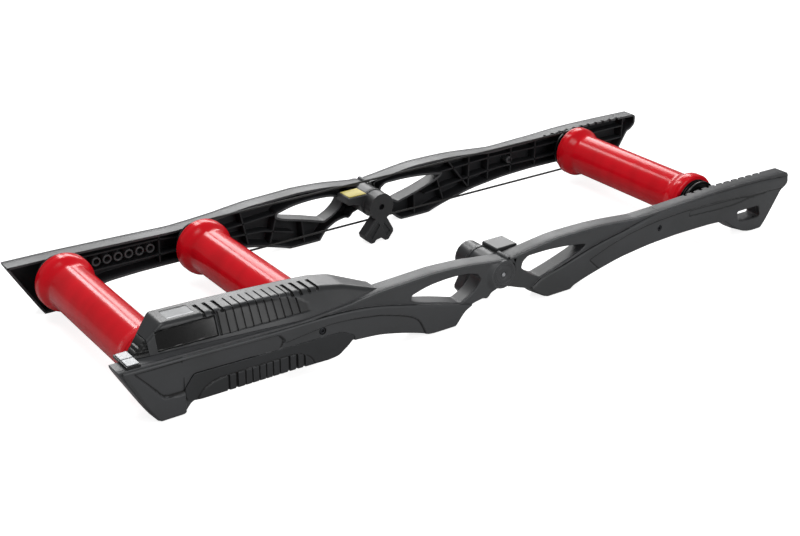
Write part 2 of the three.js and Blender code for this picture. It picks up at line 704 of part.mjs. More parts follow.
const coverRoom = prism(inset(coverOutline, -fit), [[coverSeat, 0], [outerFace + overrun, 0]]);
add('rear_beam_left', geometryOf(rearBeamBody), finish.beam);
add('rear_beam_right', mirrored(geometryOf(cut(blindRearBeam, coverRoom))), finish.beam);
add('front_beam_left', frontBeamBody, finish.beam);
add('front_beam_right', mirrored(frontBeamBody), finish.beam);
add('resistance_lower_cover', mirrored(geometryOf(lowerCover())), finish.hood);

// Drums. Each is a thin shell with flared ends that a grooved, dished cap closes at either end.

const shellBore = drumRadius - drumWall;
const flangeStart = drumHalfLength - flangeBand - flareLength;
const flareShares = [0.55, 0.5];    // along the flare, and up it, of its middle point

function drumShell(x) {
  const rise = flangeRadius - drumRadius;
  const half = [
    [drumRadius, flangeStart],
    [drumRadius + rise * flareShares[1], flangeStart + flareLength * flareShares[0]],
    [flangeRadius, flangeStart + flareLength],
    [flangeRadius, drumHalfLength - drumEdge],
    [flangeRadius - drumEdge, drumHalfLength],
    [around(shellBore, drumSides), drumHalfLength],
  ];
  const other = half.map(([radius, y]) => [radius, -y]).reverse();
  return turned(x, axleHeight, [...half, ...other, half[0]], drumSides);
}

// Left cap; the bearing sits in a pocket in its outside face
const pocketRadius = around(bearingRadius + fit, capSides);
const pocketFloor = capEnd - bearingWidth;
const grooveWidth = 2 * (beltRadius + fit);
const firstGroove = drumHalfLength + fit + capGrooveMargin;
const grooveFloor = capRadius - capGrooveDepth;

function endCap(x) {
  const grooves = Array.from({ length: capGrooves }, (_, i) => {
    const y = firstGroove + i * capGroovePitch;
    return [[capRadius, y], [grooveFloor, y], [grooveFloor, y + grooveWidth], [capRadius, y + grooveWidth]];
  }).flat();
  const room = axleRadius + axleRoom;
  const plugEnd = drumHalfLength - capPlug;
  return turned(x, axleHeight, [
    [room, pocketFloor], [room, plugEnd], [shellBore - fit, plugEnd], [shellBore - fit, drumHalfLength + fit],
    [capRadius, drumHalfLength + fit], ...grooves, [capRadius, capEnd], [capRadius - capRing, capEnd],
    [capHubRadius + capDish, capEnd - capDish], [capHubRadius, capEnd], [pocketRadius, capEnd],
    [pocketRadius, pocketFloor], [room, pocketFloor],
  ], capSides);
}

function bearing(x) {
  const inside = around(axleRadius + fit / 2, bearingSides);
  const start = pocketFloor + fit;
  return turned(x, axleHeight, [
    [inside, start], [bearingRadius, start], [bearingRadius, capEnd],
    [bearingRadius - bearingRace, capEnd - sealDepth], [inside, capEnd - sealDepth], [inside, start],
  ], bearingSides);
}

// A steel rod right across the frame, with a threaded hole in each end
function axle(x) {
  const thread = screwRadius + fit;
  const end = axleHalfLength;
  return turned(x, axleHeight, [
    [0, end - screwDepth], [thread, end - screwDepth], [thread, end], [axleRadius, end],
    [axleRadius, -end], [thread, -end], [thread, screwDepth - end], [0, screwDepth - end],
  ], smallSides);
}

// Screw from the beam's outer face into an axle end or a screw post
function sideScrew(x, z, tip) {
  const head = outerFace - screwHeadHeight + fit;
  return turned(x, z, [
    [0, tip], [screwRadius, tip], [screwRadius, head], [screwHeadRadius, head], [screwHeadRadius, outerFace],
    [screwSocketRadius, outerFace], [0, outerFace - screwSocketDepth],
  ], smallSides);
}

for (const [name, x] of [['rear', rearRollerX], ['middle', middleRollerX], ['front', frontRollerX]]) {
  add(`${name}_drum`, drumShell(x), finish.drum);
  pair(`${name}_end_cap`, endCap(x), finish.black);
  pair(`${name}_bearing`, bearing(x), finish.steel);
  add(`${name}_axle`, axle(x), finish.steel);
}
const axleScrewTip = axleHalfLength - screwDepth + screwTipGap;
add('rear_axle_screw_left', sideScrew(rearRollerX, axleHeight, axleScrewTip), finish.steel);
pair('middle_axle_screw', sideScrew(middleRollerX, axleHeight, axleScrewTip), finish.steel);
pair('rack_screw', sideScrew(rackScrewX, rackScrewHeight, innerFace + rackScrewGap), finish.steel);

// Blocks that carry the front axle along the track in the front beams
function axleBlock() {
  const body = bar(frontRollerX - blockHalfLength, frontRollerX + blockHalfLength, innerFace - blockReach,
    webInside - fit, axleHeight - blockHalfHeight, axleHeight + blockHalfHeight);
  const boss = rod(frontRollerX, axleHeight, blockBossRadius, capEnd + fit, innerFace, smallSides);
  return cut(join(body, boss),
    bore(frontRollerX, axleHeight, axleRadius + fit, capEnd - overrun, outerFace, smallSides));
}
pair('front_axle_block', geometryOf(axleBlock()), finish.black);

// Centre supports: hub tube, splayed foot and step in one moulding; the right one is turned half round

// Foot and its two pockets, in hub heights
const footShares = [
  [-0.2158, 0.8058], [-0.1871, 0.6906], [-0.5468, 0.2734], [-0.5108, 0.1583], [-0.3309, 0], [-0.2302, 0],
  [-0.1583, 0.0719], [0, 0.1007], [0.0719, 0.0576], [0.1295, 0], [0.2302, 0], [0.3885, 0.2014],
  [0.3885, 0.2878], [0.1727, 0.6763], [0.2158, 0.8058],
];
const rearToeShares = [[-0.1295, 0.5755], [-0.4173, 0.2734], [-0.295, 0.1151], [-0.0432, 0.4892]];
const frontToeShares = [[0.0863, 0.5468], [0.0288, 0.4029], [0.1583, 0.1151], [0.2878, 0.2302]];
// Underside of the step, from its rear end forward, in step lengths and heights
const stepUnderShares = [[0.034, 0.905], [0.034, 0.603], [-0.414, 0.603], [-0.586, 0.804], [-0.793, 0.844]];
const stepRearShare = 0.854;
const stepFrontShare = 0.925;

function centreSupport(top) {
  const tube = rod(0, hubHeight, supportTube, supportInner, innerFace - fit, hubSides);
  const toes = [rearToeShares, frontToeShares].map((shares) => prism(scaled(shares, hubHeight, hubHeight),
    [[supportInner - overrun, 0], [supportInner + footPocket, 0]]));
  const foot = prism(scaled(footShares, hubHeight, hubHeight),
    [[supportInner, footEdge], [supportInner + footEdge, 0], [supportInner + footDepth, 0]]);
  const step = prism([
    [-stepRear, top * stepRearShare], [-stepRear, top - stepEdge],
    [stepEdge - stepRear, top], [-stepFront - stepEdge, top],
    [-stepFront, top - stepEdge], [-stepFront, top * stepFrontShare],
    ...scaled(stepUnderShares, stepRear, top),
  ], [[stepInner, stepSide], [stepInner + stepSide, 0], [stepOuter - stepSide, 0], [stepOuter, stepSide]]);
  const collar = rod(0, hubHeight, supportCollarRadius, supportCollarStart, supportCollarEnd, hubSides);
  return cut(join(tube, cut(foot, toes), step, collar),
    bore(0, hubHeight, hubPinRadius + fit, supportInner - overrun, innerFace + overrun, smallSides),
    bore(0, hubHeight, supportBore, supportInner - overrun, supportInner + supportBoreDepth, smallSides));
}
const turnedSupport = geometryOf(centreSupport(stepTop));
turnedSupport.rotateZ(Math.PI);
add('centre_support_left', geometryOf(centreSupport(lowStepTop)), finish.black);
add('centre_support_right', turnedSupport, finish.black);
const plateSeat = lowStepTop + fit;
add('step_plate_left', geometryOf(bar(plateMargin - stepRear, -stepFront - plateMargin,
  stepInner + plateMargin, stepOuter - plateMargin, plateSeat, plateSeat + plateWall)), finish.yellow);

// Hub pins, hub caps and fold pins
function hubPin() {
  const neck = supportInner + supportBoreDepth - fit;
  return turned(0, hubHeight, [
    [0, neck - hubPinHeadLength], [hubPinHeadRadius, neck - hubPinHeadLength],
    [hubPinHeadRadius, neck], [hubPinRadius, neck], [hubPinRadius, outerFace - hubPinChamfer],
    [hubPinRadius - hubPinChamfer, outerFace], [0, outerFace],
  ], smallSides);
}
pair('hub_pin', hubPin(), finish.steel);
const hubCapBore = around(hubPinRadius + fit, smallSides);
const hubCapSeat = outerFace - hubCapDepth + fit;
pair('hub_cap', turned(0, hubHeight, [
  [hubCapBore, hubCapSeat], [hubCapRadius, hubCapSeat], [hubCapRadius, outerFace],
  [hubPinRadius + hubCapRim, outerFace], [hubCapBore, outerFace - hubCapDish], [hubCapBore, hubCapSeat],
], hubSides), finish.black);
pair('fold_pin', geometryOf(rod(foldX, foldZ, foldPinRadius, innerFace, outerFace - reliefStep - foldPinInset,
  screwSides)), finish.steel);

// Round elastic belt from the middle drum to the front one, in the outer groove of the left caps
function belt() {
  const y = firstGroove + (capGrooves - 1) * capGroovePitch + grooveWidth / 2;
  const radius = around(grooveFloor + fit + beltRadius, 2 * beltSteps);
  const path = [
    ...arc(frontRollerX, axleHeight, radius, -90, 90, beltSteps),
    ...arc(middleRollerX, axleHeight, radius, 90, 270, beltSteps),
  ];
  const positions = [];
  const faces = [];
  path.forEach(([x, z], i) => {
    const before = path[(i + path.length - 1) % path.length];
    const after = path[(i + 1) % path.length];
    const along = new THREE.Vector2(after[0] - before[0], after[1] - before[1]).normalize();
    for (let k = 0; k < beltSides; k += 1) {
      const angle = 2 * Math.PI * k / beltSides;
      const side = beltRadius * Math.cos(angle);
      positions.push(x - along.y * side, y + beltRadius * Math.sin(angle), z + along.x * side);
      const [a, b] = [i * beltSides + k, i * beltSides + (k + 1) % beltSides];
      const [c, d] = [a, b].map((v) => (v + beltSides) % (path.length * beltSides));
      faces.push(a, b, d, a, d, c);
    }
  });
  return outward(positions, faces);
}
add('drive_belt', belt(), finish.rubber);

// Upper hood of the resistance unit, modelled on the right side where it sits: sections along the beam. Each
// station is its place along the hood, its height above the seat, how far its inner side has come across to
// the outer one, and how far its outer side has spread to the beam's face, at the top and at the seat.
const hoodStationShares = [
  [0, 0.146, 0.673, 0.118, -0.158], [0.1192, 1, 0, 0, 0], [0.3285, 0.94, 0, 0, 0.263],
  [0.5231, 0.85, 0, 0, 0.526], [0.6813, 0.76, 0, 0, 0.737], [0.7786, 0.69, 0, 0.03, 0.842],
  [0.8637, 0.56, 0.08, 0.176, 0.895], [1, 0.141, 0.673, 0.5, 0.895],
];
const hoodStart = rearRollerX - hoodOverhang;
const hoodSplit = hoodStart + grilleLength;
const hoodStations = hoodStationShares.map(([along, up, inward, spreadTop, spreadSeat]) => [
  hoodStart + along * hoodLength, hoodSeat + up * (hoodTop - hoodSeat),
  -hoodInner - inward * (hoodOuter - hoodInner),
  -hoodOuter - spreadTop * (outerFace - hoodOuter), -hoodSkirt - spreadSeat * (outerFace - hoodSkirt),
]);
const edgeShares = [0.6, 0.4];      // of the hood's outer upper edge, across and down

function hoodSection([x, top, inner, outerTop, outerSeat], wall, drop) {
  return [
    [x, inner - wall, hoodSeat - drop], [x, inner - wall, top - wall - hoodEdge],
    [x, inner - wall - hoodEdge, top - wall], [x, outerTop + wall + hoodEdge * edgeShares[0], top - wall],
    [x, outerTop + wall - hoodEdge * edgeShares[1], top - wall - hoodEdge],
    [x, outerSeat + wall, hoodSeat - drop],
  ];
}

function hoodSolid(wall, drop) {
  const last = hoodStations.length - 1;
  return solid(skin(hoodStations.map(([x, ...rest], i) => {
    const shift = i === 0 ? wall : i === last ? -2 * wall : 0;
    return hoodSection([x + shift, ...rest], wall, drop);
  })));
}

// Height of the hood's ceiling at a place along the beam
function ceiling(x) {
  const i = hoodStations.findIndex((station) => station[0] > x);
  const [before, after] = [hoodStations[i - 1], hoodStations[i]];
  return THREE.MathUtils.mapLinear(x, before[0], after[0], before[1], after[1]) - hoodWall;
}
const finPitch = (ceiling(hoodSplit) + hoodWall + finNotch - finWidth - finStart) / (finCount - 1);

const rightBeamRoom = prism(inset(rearOutline, -fit), [[-outerFace - overrun, 0], [-innerFace + fit, 0]]);
const wideRearShare = 0.2774;       // first groove of each row, along the hood
const fineShare = 0.3966;
const wideFrontShare = 0.6399;
const sideRibShare = 0.3285;
const wideRearCount = 3;
const fineCount = 7;
const wideFrontCount = 4;
const sideRibCount = 11;
const grooveFootShares = [0.488, 0.3415, 0.244, 0.0976];
const sideRibTopShare = 0.7317;
const recessShares = [0.1338, 0.3187];
const labelShares = [0.1533, 0.2555];

function hoodLevel(share) {
  return hoodSeat + share * (hoodTop - hoodSeat);
}

function hoodShell() {
  const below = hoodFoot + overrun;
  const grooveSkin = hoodSolid(hoodGroove, below);
  const rows = (share, pitch, count, width, y0, y1, z0, z1) => Array.from({ length: count }, (_, i) => {
    const x = hoodStart + share * hoodLength + i * pitch;
    return cut(bar(x, x + width, y0, y1, z0, z1), grooveSkin);
  });
  const high = hoodTop + overrun;
  const top = [-grooveOuter + grooveLand, -grooveInner];
  const side = [-outerFace - overrun, -grooveOuter];
  const feet = grooveFootShares.map(hoodLevel);
  const ribTop = hoodLevel(sideRibTopShare);
  const grooves = [
    rows(wideRearShare, wideGroovePitch, wideRearCount, wideGrooveWidth, ...top, feet[0], high),
    rows(fineShare, fineGroovePitch, fineCount, fineGrooveWidth, ...top, feet[1], high),
    rows(wideFrontShare, wideGroovePitch, wideFrontCount, wideGrooveWidth, ...top, feet[2], high),
    rows(sideRibShare, fineGroovePitch, sideRibCount, sideRibWidth, ...side, feet[3], ribTop),
  ].flat();
  const [recessStart, recessEnd] = recessShares.map((share) => hoodStart + share * hoodLength);
  const [labelStart, labelEnd] = labelShares.map((share) => hoodStart + share * hoodLength);
  const recess = cut(bar(recessStart, recessEnd, ...side, feet[3], ribTop), grooveSkin);
  const label = cut(bar(labelStart, labelEnd, -hoodOuter + overrun, -hoodInner - overrun, feet[0], high),
    hoodSolid(hoodRecess, below));
  const room = [rearRollerX, middleRollerX].map((x) => rod(x, axleHeight, flangeRadius + drumRoom,
    -capEnd - capGrooveMargin, 0, drumSides));
  return cut(hoodSolid(0, hoodFoot), grooves, recess, label, hoodSolid(hoodWall, below + overrun), room,
    rightBeamRoom);
}

function hoodParts() {
  const shell = hoodShell();
  const sides = [-outerFace - overrun, 0, 0, hoodTop + overrun];
  const front = bar(hoodSplit, 0, ...sides);
  const rear = bar(-halfLength, hoodSplit - fit, ...sides);
  const grooveSkin = hoodSolid(hoodGroove, hoodFoot + overrun);
  const fins = Array.from({ length: finCount }, (_, i) => {
    const z = finStart + i * finPitch;
    return cut(bar(-halfLength, hoodSplit + overrun, -outerFace - overrun, 0, z, z + finWidth), grooveSkin);
  });
  return [shell.intersect(front), cut(shell.intersect(rear), fins)];
}
const [hoodFront, hoodRear] = hoodParts();
add('resistance_hood', geometryOf(hoodFront), finish.hood);
add('hood_rear_grille', geometryOf(hoodRear), finish.black);

// Base tray and two pale contact pads at the tip of the right beam, behind the hood
const trayRear = trayInset - halfLength;
const padSeat = trayTop + fit;
const padStart = trayRear + padMargin;
const padWidth = (trayOuter - trayInner - 3 * padMargin) / 2;
const tray = bar(trayRear, trayRear + trayLength, -trayOuter, -trayInner, trayBottom, trayTop);
add('hood_base_tray', geometryOf(cut(tray, rightBeamRoom)), finish.black);
for (const [name, y] of [['outer', -trayOuter + padMargin], ['inner', -trayInner - padMargin - padWidth]]) {
  const pad = bar(padStart, padStart + padLength, y, y + padWidth, padSeat, padSeat + padWall);
  add(`contact_pad_${name}`, geometryOf(pad), finish.pale);
}

// Working parts of the brake, under the hood: an aluminium disc on the rear drum's right cap, magnets that
// slide over its rim in a guide, and the motor and board that set them
const discFace = -capEnd - fit;
const discBack = discFace - discWall;
add('brake_disc', turned(rearRollerX, axleHeight, [
  [discBore, discFace], [discRadius, discFace], [discRadius, discBack], [discBore, discBack],
  [discBore, discFace],
], drumSides), finish.aluminium);

const carriageFace = discBack - discGap;
const carriageRoom = rod(rearRollerX, axleHeight, carriageArch, -innerFace, carriageFace + overrun, hubSides);
add('magnet_carriage', geometryOf(cut(bar(rearRollerX - carriageHalfWidth, rearRollerX + carriageHalfWidth,
  -carriageBack, carriageFace, carriageFoot, carriageTop), carriageRoom)), finish.black);
[-1, 1].forEach((side, i) => {
  const magnet = rod(rearRollerX + side * magnetSpacing / 2, magnetHeight, magnetRadius, carriageFace + fit,
    discBack - fit, smallSides);
  add(`magnet_${i + 1}`, geometryOf(magnet), finish.steel);
});

function magnetGuide() {
  const inside = carriageHalfWidth + fit;
  const outside = [rearRollerX - inside - railWall, rearRollerX + inside + railWall];
  const plateFront = -carriageBack - fit;
  const plateBack = plateFront - railWall;
  const slot = bar(rearRollerX - inside, rearRollerX + inside, plateFront, carriageFace + overrun,
    railFoot - overrun, railTop + overrun);
  const block = bar(...outside, plateBack, carriageFace - railSetback, railFoot, railTop);
  const foot = bar(...outside, -guideFootOuter, plateFront, railFoot - overrun, guideFootTop);
  return cut(join(block, foot), slot, rightBeamRoom);
}
add('magnet_guide', geometryOf(magnetGuide()), finish.black);

function brakeMotor() {
  const body = new THREE.CylinderGeometry(motorRadius, motorRadius, motorLength, smallSides);
  body.rotateZ(Math.PI / 2);
  const middle = rearRollerX + motorInset + motorLength / 2;
  body.translate(middle, -motorSide, motorHeight);
  const [x0, x1] = [middle - motorBracketLength / 2, middle + motorBracketLength / 2];
  const [y0, y1] = [-motorSide - motorBracketWidth / 2, -motorSide + motorBracketWidth / 2];
  const bracket = bar(x0, x1, y0, y1, motorHeight, ceiling(x1) - fit);
  return join(solid(body), bracket);
}
add('brake_motor', geometryOf(brakeMotor()), finish.steel);

function controlBoard() {
  const boardStart = rearRollerX + boardInset;
  const boardEnd = boardStart + boardLength;
  const plate = bar(boardStart, boardEnd, -boardOuter, -boardInner, boardHeight, boardHeight + boardWall);
  const postY = -boardOuter + boardPostInset;
  const postStarts = [boardStart + boardPostInset, boardEnd - boardPostInset - boardPost];
  const posts = postStarts.map((x) => bar(x, x + boardPost, postY, postY + boardPost, boardHeight,
    ceiling(x + boardPost) - fit));
  const middle = (boardStart + boardEnd) / 2;
  const chips = [[middle - largeChip, smallChip], [middle, largeChip]].map(([x, size]) => bar(x, x + size,
    postY, postY + size, boardHeight - chipHeight, boardHeight + boardWall));
  return join(plate, posts, chips);
}
add('control_board', geometryOf(controlBoard()), finish.green);

// The origin is halfway between the two ends, and the hinge hubs stand a little behind it
const ends = [...rearOutline, ...frontOutline].map(([x]) => x);
const hubPlace = -(Math.min(...ends) + Math.max(...ends)) / 2;
group.children.forEach((mesh) => mesh.position.setX(hubPlace));

export default group;
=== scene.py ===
"""Looks of a pair of folding bike rollers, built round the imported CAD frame. Metres, +X forward, +Y left,
+Z up.

Places are measured from the axis of the hinge hubs and moved by HUB into the frame of the CAD.
"""

import logging
import math
from dataclasses import dataclass
from enum import Enum

import bmesh
import bpy
import numpy as np
from mathutils import Matrix, Vector
from mathutils.geometry import delaunay_2d_cdt, tessellate_polygon


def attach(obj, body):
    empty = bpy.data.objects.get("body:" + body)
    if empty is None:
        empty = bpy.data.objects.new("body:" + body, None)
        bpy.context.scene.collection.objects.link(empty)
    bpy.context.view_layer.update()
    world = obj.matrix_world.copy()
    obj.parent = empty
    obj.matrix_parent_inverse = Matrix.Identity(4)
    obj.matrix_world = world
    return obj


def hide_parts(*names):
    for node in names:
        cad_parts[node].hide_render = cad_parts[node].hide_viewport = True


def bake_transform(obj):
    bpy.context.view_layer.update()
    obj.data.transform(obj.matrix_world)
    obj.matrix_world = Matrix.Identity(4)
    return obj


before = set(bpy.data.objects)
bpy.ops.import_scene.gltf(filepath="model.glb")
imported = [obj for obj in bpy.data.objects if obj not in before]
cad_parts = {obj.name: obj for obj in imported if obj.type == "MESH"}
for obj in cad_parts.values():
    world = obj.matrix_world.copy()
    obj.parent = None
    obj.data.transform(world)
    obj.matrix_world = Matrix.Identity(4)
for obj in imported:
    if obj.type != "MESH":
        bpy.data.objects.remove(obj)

log = logging.getLogger("rollers")
Array = np.ndarray
Tree = bpy.types.NodeTree
Socket = bpy.types.NodeSocket

HUB = Vector((-0.00798, 0.0, 0.0))
SIDES: tuple[tuple[str, int], ...] = (("left", 1), ("right", -1))
AXLES: dict[str, float] = {"rear": -0.61, "middle": -0.355, "front": 0.51}
AXLE_HEIGHT = 0.067
RACK_SCREW = (0.362, 0.066)
HUB_HEIGHT = 0.0695
OUTER_FACE = 0.230
NEAR = 2e-6


# Meshes worked out with numpy

def link(name: str, data: bpy.types.ID) -> bpy.types.Object:
    """Puts data into the scene as an object.

    Args:
        name: the object's name.
        data: its mesh, lamp or camera.

    Returns:
        The object.
    """
    piece = bpy.data.objects.new(name, data)
    bpy.context.scene.collection.objects.link(piece)
    return piece


def merge_doubles(mesh: bpy.types.Mesh, distance: float) -> None:
    """Joins vertices that lie on one spot.

    Args:
        mesh: the mesh to clean.
        distance: how near two vertices are to be one, in metres.
    """
    work = bmesh.new()
    work.from_mesh(mesh)
    bmesh.ops.remove_doubles(work, verts=work.verts, dist=distance)
    work.to_mesh(mesh)
    work.free()


def shade(mesh: bpy.types.Mesh, angle: float) -> None:
    """Shades a mesh smooth, with edges sharper than an angle in degrees kept sharp.

    Args:
        mesh: the mesh to shade.
        angle: edges sharper than this, in degrees, stay sharp.
    """
    mesh.polygons.foreach_set("use_smooth", np.ones(len(mesh.polygons), bool))
    mesh.set_sharp_from_angle(angle=math.radians(angle))
    mesh.update()


def face_values(mesh: bpy.types.Mesh, name: str) -> Array:
    """A vector of every face, such as its centre, as an n x 3 array.

    Args:
        mesh: the mesh.
        name: the faces' property.

    Returns:
        n x 3 values.
    """
    values = np.zeros(len(mesh.polygons) * 3)
    mesh.polygons.foreach_get(name, values)
    return values.reshape(-1, 3)


def smooth_step(value: Array, low: float | Array, high: float | Array) -> Array:
    """3t^2 - 2t^3 with t from 0 at low to 1 at high."""
    t = np.clip((value - low) / (high - low), 0, 1)
    return t * t * (3 - 2 * t)


def plateau(value: Array, start: float, width: float, soft: float = 0.0002) -> Array:
    """1 between start and start + width and 0 outside, with edges twice soft wide."""
    end = start + width
    return smooth_step(value, start - soft, start + soft) * (1 - smooth_step(value, end - soft, end + soft))


def round_edge(distance: Array, radius: float | Array) -> Array:
    """Depth of a rounded edge at a distance from it: r - sqrt(r^2 - (r - d)^2), and zero beyond the
    radius."""
    back = np.clip(radius - distance, 0, radius)
    return radius - np.sqrt(radius ** 2 - back ** 2)


def rounded(profile: Array | list, radius: float | Array, steps: int = 3) -> Array:
    """Rounds the corners of a closed profile.

    Each corner b between its neighbours a and c becomes the curve (1-t)^2 p + 2t(1-t) b + t^2 q, where p
    and q lie on the two edges, a radius or at most 45% of the edge away from b.

    Args:
        profile: n x 2 points, in order.
        radius: how far the rounding reaches along each edge, in metres, for all corners or for each.
        steps: pieces per corner.

    Returns:
        The rounded closed profile.
    """
    b = np.asarray(profile, float)
    into, out = np.roll(b, 1, 0) - b, np.roll(b, -1, 0) - b
    reach_in, reach_out = (np.linalg.norm(v, axis=1, keepdims=True) for v in (into, out))
    p = b + into / reach_in * np.minimum(radius, reach_in * 0.45)
    q = b + out / reach_out * np.minimum(radius, reach_out * 0.45)
    t = np.linspace(0, 1, steps + 1)[None, :, None]
    curve = (1 - t) ** 2 * p[:, None] + 2 * t * (1 - t) * b[:, None] + t ** 2 * q[:, None]
    return curve.reshape(-1, 2)


def eased(loop: Array, gentle: float, sharp: float, limit: float = 28.0) -> Array:
    """Rounds a closed outline's corners: over the gentle reach where it turns by less than a limit in
    degrees, over the sharp one where it turns by more.

    Args:
        loop: n x 2 points.
        gentle: reach along the edges at gentle corners, in metres.
        sharp: the same at sharp corners.
        limit: the turn that parts the two, in degrees.

    Returns:
        The rounded outline.
    """
    into, out = loop - np.roll(loop, 1, 0), np.roll(loop, -1, 0) - loop
    turn = np.abs(np.arctan2(into[:, 0] * out[:, 1] - into[:, 1] * out[:, 0], (into * out).sum(1)))
    return rounded(loop, np.where(turn < math.radians(limit), gentle, sharp)[:, None], 4)


def refined(loop: Array, step: float) -> Array:
    """A closed outline with points added so that no edge is longer than a step.

    Args:
        loop: n x 2 points.
        step: the longest edge, in metres.

    Returns:
        The outline with more points.
    """
    rows = []
    for a, b in zip(loop, np.roll(loop, -1, 0)):
        count = max(1, math.ceil(np.linalg.norm(b - a) / step))
        rows.append(a + (b - a) * np.linspace(0, 1, count, endpoint=False)[:, None])
    return np.vstack(rows)


def corner_normals(loop: Array) -> tuple[Array, Array]:
    """Outward bisectors at a closed outline's corners and what a distance is multiplied by along them.

    With unit edges u before and v after a corner, the bisector is the sum of both edge normals and the
    factor is 1 / (1 + u . v), kept below 1 / 0.35.

    Args:
        loop: n x 2 points.

    Returns:
        The bisectors and the factors.
    """
    u, v = loop - np.roll(loop, 1, 0), np.roll(loop, -1, 0) - loop
    u, v = (w / np.linalg.norm(w, axis=1, keepdims=True) for w in (u, v))
    area = (loop[:, 0] * np.roll(loop[:, 1], -1) - np.roll(loop[:, 0], -1) * loop[:, 1]).sum()
    total = np.sign(area) * (u + v)
    return np.stack([total[:, 1], -total[:, 0]], -1), 1 / np.maximum(0.35, 1 + (u * v).sum(1))


def offset(loop: Array, distance: float) -> Array:
    """Moves a closed outline outwards by a distance, or inwards by a negative one."""
    normals, factors = corner_normals(loop)
    return loop + normals * (factors * distance)[:, None]


def inside(x: Array, z: Array, loop: Array) -> Array:
    """Distance of points from a closed outline in side view, positive inside it.

    The distance is the least one to any edge; a point is inside when a ray from it crosses the outline an
    odd number of times.

    Args:
        x: places along the object.
        z: heights, in an array of the same shape.
        loop: n x 2 points.

    Returns:
        Signed distances.
    """
    flat = np.stack([x.ravel(), z.ravel()], -1)
    least = np.full(len(flat), np.inf)
    odd = np.zeros(len(flat), bool)
    for a, b in zip(loop, np.roll(loop, -1, 0)):
        edge, away = b - a, flat - a
        t = np.clip((away @ edge) / (edge @ edge), 0, 1)
        least = np.minimum(least, np.linalg.norm(away - t[:, None] * edge, axis=1))
        spans = (a[1] > flat[:, 1]) != (b[1] > flat[:, 1])
        rise = edge[1] if abs(edge[1]) > 1e-12 else 1e-12
        odd ^= spans & (flat[:, 0] < a[0] + (flat[:, 1] - a[1]) * edge[0] / rise)
    return np.where(odd, least, -least).reshape(x.shape)


def at(loop: Array, y: float | Array) -> Array:
    """An outline in side view as points in space at y."""
    return np.stack([loop[:, 0], np.broadcast_to(np.asarray(y, float), (len(loop),)), loop[:, 1]], -1)


def grid_faces(rows: int, columns: int, wrap_rows: bool, wrap_columns: bool) -> Array:
    """Quads over a grid of points numbered row by row.

    Args:
        rows: points in the first direction.
        columns: points in the second direction.
        wrap_rows: the last row joins the first.
        wrap_columns: the last column joins the first.

    Returns:
        m x 4 vertex numbers.
    """
    r = np.arange(rows if wrap_rows else rows - 1)[:, None]
    c = np.arange(columns if wrap_columns else columns - 1)[None, :]
    r2, c2 = (r + 1) % rows, (c + 1) % columns
    corners = [r * columns + c, r * columns + c2, r2 * columns + c2, r2 * columns + c]
    return np.stack([np.broadcast_to(k, (len(r), c.shape[1])) for k in corners], -1).reshape(-1, 4)


@dataclass
class Shell:
    """A closed surface: its points and faces, which faces only show from an open back, and how deep each
    point is pressed into the surface round it, which the finishes darken as painted shade."""

    vertices: Array
    faces: Array | list[list[int]]
    hidden: Array | None = None
    cavity: Array | None = None

    def __post_init__(self) -> None:
        """Turns the faces outwards: a sixth of the sum of a . (b x c) over the triangles is then
        positive."""
        self.faces = [list(map(int, face)) for face in self.faces]
        fans = np.array([(f[0], f[k], f[k + 1]) for f in self.faces for k in range(1, len(f) - 1)])
        a, b, c = (self.vertices[fans[:, k]] for k in range(3))
        if np.einsum("ij,ij->", a, np.cross(b, c)) < 0:
            self.faces = [face[::-1] for face in self.faces]
        if self.hidden is None:
            self.hidden = np.zeros(len(self.faces), bool)
        if self.cavity is None:
            self.cavity = np.zeros(len(self.vertices))


def solid(name: str, shells: list[Shell], side: int = 1, angle: float = 32.0,
          near: float = NEAR) -> bpy.types.Object:
    """Puts closed shells into one piece, as drawn on the left or mirrored to the right.

    Args:
        name: the piece's name.
        shells: the shells.
        side: +1 for the left side, -1 for the right one.
        angle: edges sharper than this, in degrees, stay sharp.
        near: how near points are to be joined, or zero to join none.

    Returns:
        The piece, with cavity as a point attribute and hidden as a face attribute.
    """
    points, faces, start = [], [], 0
    for shell in shells:
        points.append(shell.vertices * [1, side, 1])
        faces += [[start + v for v in (row if side > 0 else row[::-1])] for row in shell.faces]
        start += len(shell.vertices)
    mesh = bpy.data.meshes.new(name)
    mesh.from_pydata(np.vstack(points).tolist(), [], faces)
    depth = mesh.attributes.new("cavity", "FLOAT", "POINT")
    depth.data.foreach_set("value", np.concatenate([shell.cavity for shell in shells]))
    hidden = mesh.attributes.new("hidden", "INT", "FACE")
    hidden.data.foreach_set("value", np.concatenate([shell.hidden for shell in shells]).astype(np.int32))
    if near:
        merge_doubles(mesh, near)
    shade(mesh, angle)
    return link(name, mesh)


def turned(x: float, z: float, profile: Array | list, segments: int = 96) -> Shell:
    """Turns a closed profile about a line along Y: each point is (x + r cos a, y, z + r sin a).

    Args:
        x: place of the axis along the object.
        z: height of the axis.
        profile: n x 2 rows of radius and y, closed, touching the axis or clear of it.
        segments: steps round the axis.

    Returns:
        The shell.
    """
    angle = np.linspace(0, 2 * np.pi, segments, endpoint=False)
    radius, y = np.asarray(profile, float).T[:, :, None]
    points = np.stack([x + radius * np.cos(angle), y + 0 * angle, z + radius * np.sin(angle)], -1)
    return Shell(points.reshape(-1, 3), grid_faces(len(profile), segments, True, True))


